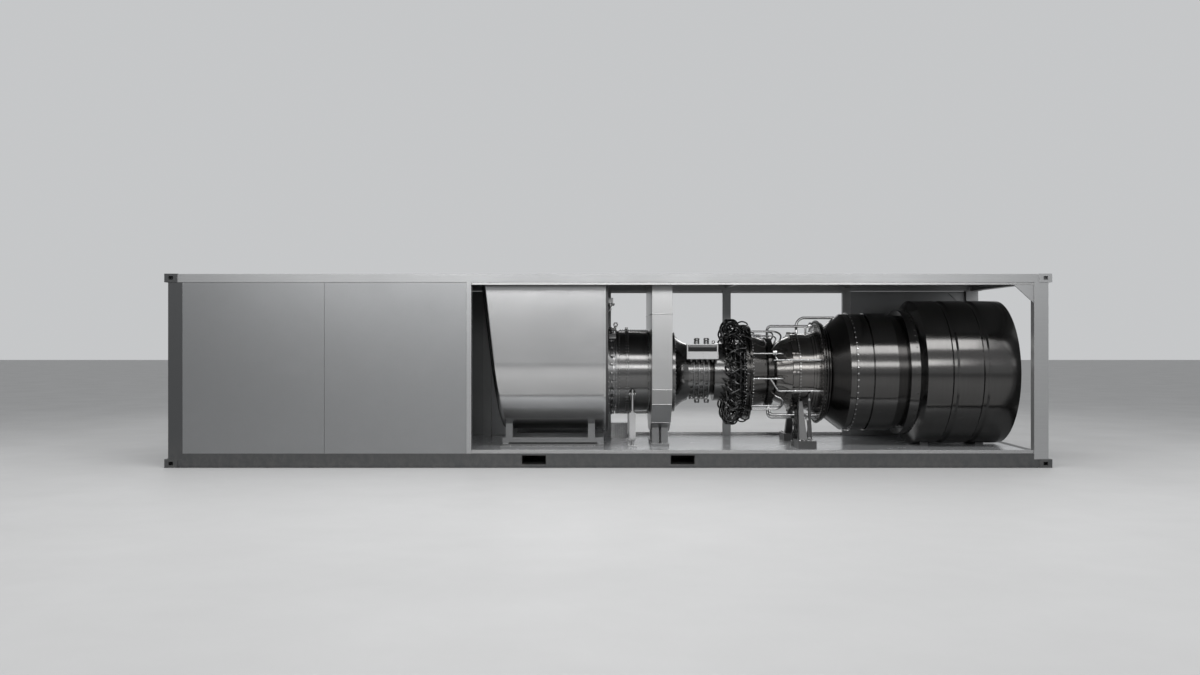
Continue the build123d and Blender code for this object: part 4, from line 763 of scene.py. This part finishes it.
# near-side pipes, repeated on the far side: the maker, points as (station, radius, angle), its sizes
SMALL_PIPES = (
    # three tubes that leave the main flange high up; the outer one turns back in a wide loop
    (loop, ((COMBUSTOR_X, 0.660, 66.5), (2.293, 0.660, 66.5), (2.440, 0.660, 66.5), (2.518, 0.660, 62.0),
            (2.545, 0.655, 55.0), (2.520, 0.640, 47.5), (2.456, 0.600, 43.0), (2.415, 0.515, 41.5)),
     (0.013, 12, 8)),
    (loop, ((COMBUSTOR_X, 0.615, 64.5), (2.240, 0.610, 64.5), (2.300, 0.600, 63.0), (2.374, 0.600, 64.0),
            (2.450, 0.600, 63.0), (2.482, 0.585, 58.0), (2.462, 0.540, 55.0), (2.445, 0.410, 54.0)),
     (0.011, 10, 8)),
    (loop, ((COMBUSTOR_X, 0.590, 61.5), (2.230, 0.585, 61.5), (2.290, 0.570, 59.0), (2.330, 0.540, 56.0),
            (2.345, 0.470, 55.0)), (0.011, 10, 8)),
    # tube with a valve block, which feeds the side pipe
    (pipe, ((COMBUSTOR_X, 0.600, 28), (2.560, 0.600, 28), (2.610, 0.500, 27)), (0.013, 0.04)),
    (pipe, ((2.435, 0.600, 28), (2.435, 0.640, 22), (2.460, 0.645, 17)), (0.013, 0.03)),
    # low tube with a return bend
    (loop, ((COMBUSTOR_X, 0.660, -55), (2.300, 0.660, -55), (2.480, 0.660, -54), (2.540, 0.660, -48),
            (2.556, 0.655, -41), (2.530, 0.645, -36), (2.455, 0.610, -34), (2.400, 0.515, -34)),
     (0.015, 12, 8)),
)
VALVE_BLOCK = block((-0.030, -0.026, -0.030), (0.030, 0.026, 0.030), 0.006)
VALVE_AT = (2.437, 0.604, 29)
CLAMP = form([(0.016, -0.012), (0.021, -0.009), (0.021, 0.009), (0.016, 0.012)], 14)
CLAMPS_AT = ((2.180, 0.620, -7.6), (2.440, 0.620, -7.6), (2.720, 0.645, -24), (2.960, 0.645, -24),
             (2.620, 0.645, 17), (2.900, 0.645, 17))

small = []
joints = []
for side in (1, -1):
    for make, route, sizes in SMALL_PIPES:
        small.append(make([on_side(side, *stop) for stop in route], *sizes))
    joints.append(moved(VALVE_BLOCK, Matrix.Translation(on_side(side, *VALVE_AT))))
    for clamp_at in CLAMPS_AT:
        joints.append(moved(CLAMP, place(on_side(side, *clamp_at), (1, 0, 0))))
# end of the high pipe, let into the exhaust cone
small.append(sweep([around(3.340, 0.818, 97), around(3.440, 0.818, 97)], 0.0205, 16))
# stays under the long pipe and the capped clamp on it
LONG_PIPE = (0.688, 84)     # its radius and angle
CLAMP_X = 3.034
for station, foot in ((2.965, 0.568), (3.092, 0.620)):
    joints.append(brick((-0.016, -0.014, 0.0), (0.016, 0.014, LONG_PIPE[0] - foot), 0.004, station, foot,
                        LONG_PIPE[1]))
joints.append(brick((-0.036, -0.030, -0.028), (0.036, 0.030, 0.024), 0.006, CLAMP_X, *LONG_PIPE))
joints.append(moved(form([(0.034, 0.022), (0.032, 0.032), (0.010, 0.058)], 16),
                    place(around(CLAMP_X, *LONG_PIPE), outward(LONG_PIPE[1]))))
piece("small_pipes", "pipe_steel", small)
piece("pipe_joints", "strut_steel", joints)

# ---------------------------------------------------------------------------------------------------
# Supports: bolts, clevises, links and drains
# ---------------------------------------------------------------------------------------------------

UP = Vector((0.0, 0.0, 1.0))
bolts = []


def bolt_row(xs, ys, z, size):
    """Adds upright bolts at every crossing of xs and ys."""
    for x in xs:
        for y in ys:
            bolts.append(moved(STUD, place((x, y, z), UP, size)))


STRUT_LOW, STRUT_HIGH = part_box("fore_struts")
MOUNT_LOW, MOUNT_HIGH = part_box("front_mounts")
AFT_LOW, AFT_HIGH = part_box("aft_stands")
BASE_LOW, BASE_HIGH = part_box("plenum_stand")
STRUT_X = (STRUT_LOW.x + STRUT_HIGH.x) / 2
STRUT_Y = STRUT_HIGH.y - 0.065
STRUT_BOLT = 0.052          # from the strut to its bolts
STRUT_FOOT, MOUNT_FOOT, AFT_FOOT, BASE_FOOT = 0.024, 0.044, 0.110, 0.040     # bolted faces above the deck
BASE_PITCH = 0.0993
BASE_EDGE = 0.030

for side in (-1, 1):
    bolt_row((STRUT_X - STRUT_BOLT, STRUT_X + STRUT_BOLT),
             (side * STRUT_Y - STRUT_BOLT, side * STRUT_Y + STRUT_BOLT), DECK_Z + STRUT_FOOT, 0.009)
for side in (-1, 1):
    bolt_row((MOUNT_LOW.x + 0.040, MOUNT_LOW.x + 0.100, MOUNT_HIGH.x - 0.100, MOUNT_HIGH.x - 0.040),
             (side * (MOUNT_HIGH.y - 0.024), side * (MOUNT_HIGH.y - 0.276)), DECK_Z + MOUNT_FOOT, 0.014)
for side in (-1, 1):
    bolt_row((AFT_LOW.x + 0.030, AFT_LOW.x + 0.090, AFT_LOW.x + 0.150, AFT_LOW.x + 0.210, AFT_HIGH.x - 0.022),
             (side * (AFT_HIGH.y - 0.030), side * (AFT_HIGH.y - 0.090)), DECK_Z + AFT_FOOT, 0.014)
x = BASE_LOW.x + 0.045
while x < BASE_HIGH.x - 0.02:
    bolt_row((x,), (BASE_LOW.y + BASE_EDGE, BASE_HIGH.y - BASE_EDGE), DECK_Z + BASE_FOOT, 0.011)
    x += BASE_PITCH
piece("support_bolts", "strut_steel", bolts)

CHEEK = block((-0.008, -0.024, -0.020), (0.008, 0.024, 0.090), 0.004)
CHEEK_HALF = 0.030          # from the middle of the fork to a cheek
FORK_Z = 0.905
FORK_PIN = form([(0.024, -0.046), (0.024, -0.040), (0.018, -0.038), (0.018, 0.038), (0.024, 0.040),
                 (0.024, 0.046)], 18)
SLEEVE_COLLAR = form([(0.034, 0.0), (0.034, 0.018), (0.028, 0.024)], 20)
SLEEVE_TOP = 0.504          # above the deck
BRACE_PIN = form([(0.018, -0.028), (0.018, 0.028), (0.014, 0.032)], 16)
ROD_FORK = form([(0.027, -0.034), (0.027, -0.004), (0.022, 0.0)], 20)

links = []
ends_of_links = []
for side in (-1, 1):
    # fork and pin where the fore strut meets the casing
    head = Vector((STRUT_X, side * STRUT_Y, FORK_Z))
    for cheek in (-1, 1):
        links.append(moved(CHEEK, Matrix.Translation(head + Vector((cheek * CHEEK_HALF, 0.0, 0.0)))))
    ends_of_links.append(moved(FORK_PIN, place(head + Vector((0.0, 0.0, 0.060)), (1, 0, 0))))
    # collar on the sleeve
    ends_of_links.append(moved(SLEEVE_COLLAR, place((STRUT_X, side * STRUT_Y, DECK_Z + SLEEVE_TOP), UP)))
    # slender brace of the aft stand, with a pin at each end
    top = Vector((AFT_LOW.x + 0.176, side * 0.545, 0.600))
    foot = Vector((AFT_LOW.x + 0.196, side * 0.610, DECK_Z + 0.130))
    links.append(sweep([top, foot], 0.010, 12))
    for end in (top, foot):
        ends_of_links.append(moved(BRACE_PIN, place(end, (0, -side, 0))))
    # fork on top of the aft rod
    head = Vector((AFT_LOW.x + 0.222, side * 0.490, 0.900))
    ends_of_links.append(moved(ROD_FORK, place(head, UP)))
piece("support_links", "plate_dark", links)
piece("support_pins", "strut_steel", ends_of_links)

DRAINS = 3
DRAIN_PITCH = 0.026
DRAIN_SWAY = 0.011
# how far to the near side and how high each drain runs, from its head to its foot
DRAIN_ROUTE = ((0.24, 0.770), (0.28, 0.690), (0.31, 0.610), (0.33, 0.530), (0.34, 0.450), (0.34, 0.380),
               (0.34, 0.320), (0.34, 0.270))
DRAIN_UPRIGHT = 5           # the point from which a drain runs straight down

drains = []
for index in range(DRAINS):
    head_x = AFT_LOW.x + 0.058 + index * DRAIN_PITCH
    foot_x = AFT_LOW.x + 0.006 + index * DRAIN_PITCH
    route = []
    for step, (y, z) in enumerate(DRAIN_ROUTE):
        sway = DRAIN_SWAY * (-1) ** step if 1 < step <= DRAIN_UPRIGHT else 0.0
        route.append((head_x + (foot_x - head_x) * min(step, DRAIN_UPRIGHT) / DRAIN_UPRIGHT + sway, -y, z))
    drains.append(loop(route, 0.012, 10, 6))
piece("drain_pipes", "fuel_line", drains)
piece("drain_blocks", "plate_dark",
      [block((AFT_LOW.x - 0.020, -0.390, DECK_Z), (AFT_LOW.x + 0.084, -0.290, 0.275), 0.006)])

# ---------------------------------------------------------------------------------------------------
# Stage: floor, light and camera
# ---------------------------------------------------------------------------------------------------

FLOOR_REACH = 70.0
floor_mesh = bpy.data.meshes.new("floor")
floor_mesh.from_pydata([(-FLOOR_REACH, -FLOOR_REACH, 0), (FLOOR_REACH, -FLOOR_REACH, 0),
                        (FLOOR_REACH, FLOOR_REACH, 0), (-FLOOR_REACH, FLOOR_REACH, 0)], [], [(0, 1, 2, 3)])
floor = bpy.data.objects.new("floor", floor_mesh)
bpy.context.scene.collection.objects.link(floor)
floor_mesh.materials.append(finish("floor", tone(0.45), tone(0.48), 0.0, 0.55, EVEN, 0.05))
floor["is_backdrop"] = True

SEEN_LEVEL = 0.58       # the world as the camera and reflections see it
LIGHT_LEVEL = 0.44      # the world as it lights the part
world = bpy.data.worlds.new("studio")
bpy.context.scene.world = world
world.use_nodes = True
back = world.node_tree.nodes["Background"]
back.inputs["Color"].default_value = (0.97, 0.985, 1.0, 1.0)
path = world.node_tree.nodes.new("ShaderNodeLightPath")
seen = None
for ray in ("Is Glossy Ray", "Is Transmission Ray"):
    either = world.node_tree.nodes.new("ShaderNodeMath")
    either.operation = "MAXIMUM"
    world.node_tree.links.new(path.outputs["Is Camera Ray"] if seen is None else seen, either.inputs[0])
    world.node_tree.links.new(path.outputs[ray], either.inputs[1])
    seen = either.outputs[0]
level = world.node_tree.nodes.new("ShaderNodeMapRange")
world.node_tree.links.new(seen, level.inputs["Value"])
level.inputs["To Min"].default_value = LIGHT_LEVEL
level.inputs["To Max"].default_value = SEEN_LEVEL
world.node_tree.links.new(level.outputs["Result"], back.inputs["Strength"])

AIM = Vector((0.6, 0.0, 1.3))
LAMPS = (
    # name, place, width, height, power
    ("high", (0.5, -6.2, 7.2), 15.0, 2.3, 600.0),
    ("front", (0.5, -13.0, 4.9), 17.0, 1.9, 680.0),
    ("top", (0.0, 0.2, 8.5), 14.0, 5.0, 240.0),
    ("back", (0.0, 9.0, 5.5), 14.0, 2.0, 300.0),
    ("left", (-13.0, -3.0, 4.0), 3.0, 3.0, 170.0),
    ("right", (13.0, -3.0, 4.0), 3.0, 3.0, 170.0),
)
for name, where, width, height, power in LAMPS:
    lamp = bpy.data.lights.new(name, "AREA")
    lamp.shape = "RECTANGLE"
    lamp.size = width
    lamp.size_y = height
    lamp.energy = power
    holder = bpy.data.objects.new(name, lamp)
    holder.location = where
    holder.rotation_euler = (AIM - Vector(where)).to_track_quat("-Z", "Y").to_euler()
    holder.visible_camera = False
    bpy.context.scene.collection.objects.link(holder)

camera = bpy.data.cameras.new("camera")
camera.sensor_width = 36.0
camera.lens = 32.46
viewer = bpy.data.objects.new("camera", camera)
viewer.location = (-0.114, -16.30, 1.79)
viewer.rotation_euler = (radians(90), 0.0, 0.0)
bpy.context.scene.collection.objects.link(viewer)
bpy.context.scene.camera = viewer
bpy.context.scene.view_settings.view_transform = "Standard"

sizes = {"cad": [list(corner) for corner in CAD_BOX], "visual": [list(corner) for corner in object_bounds()]}
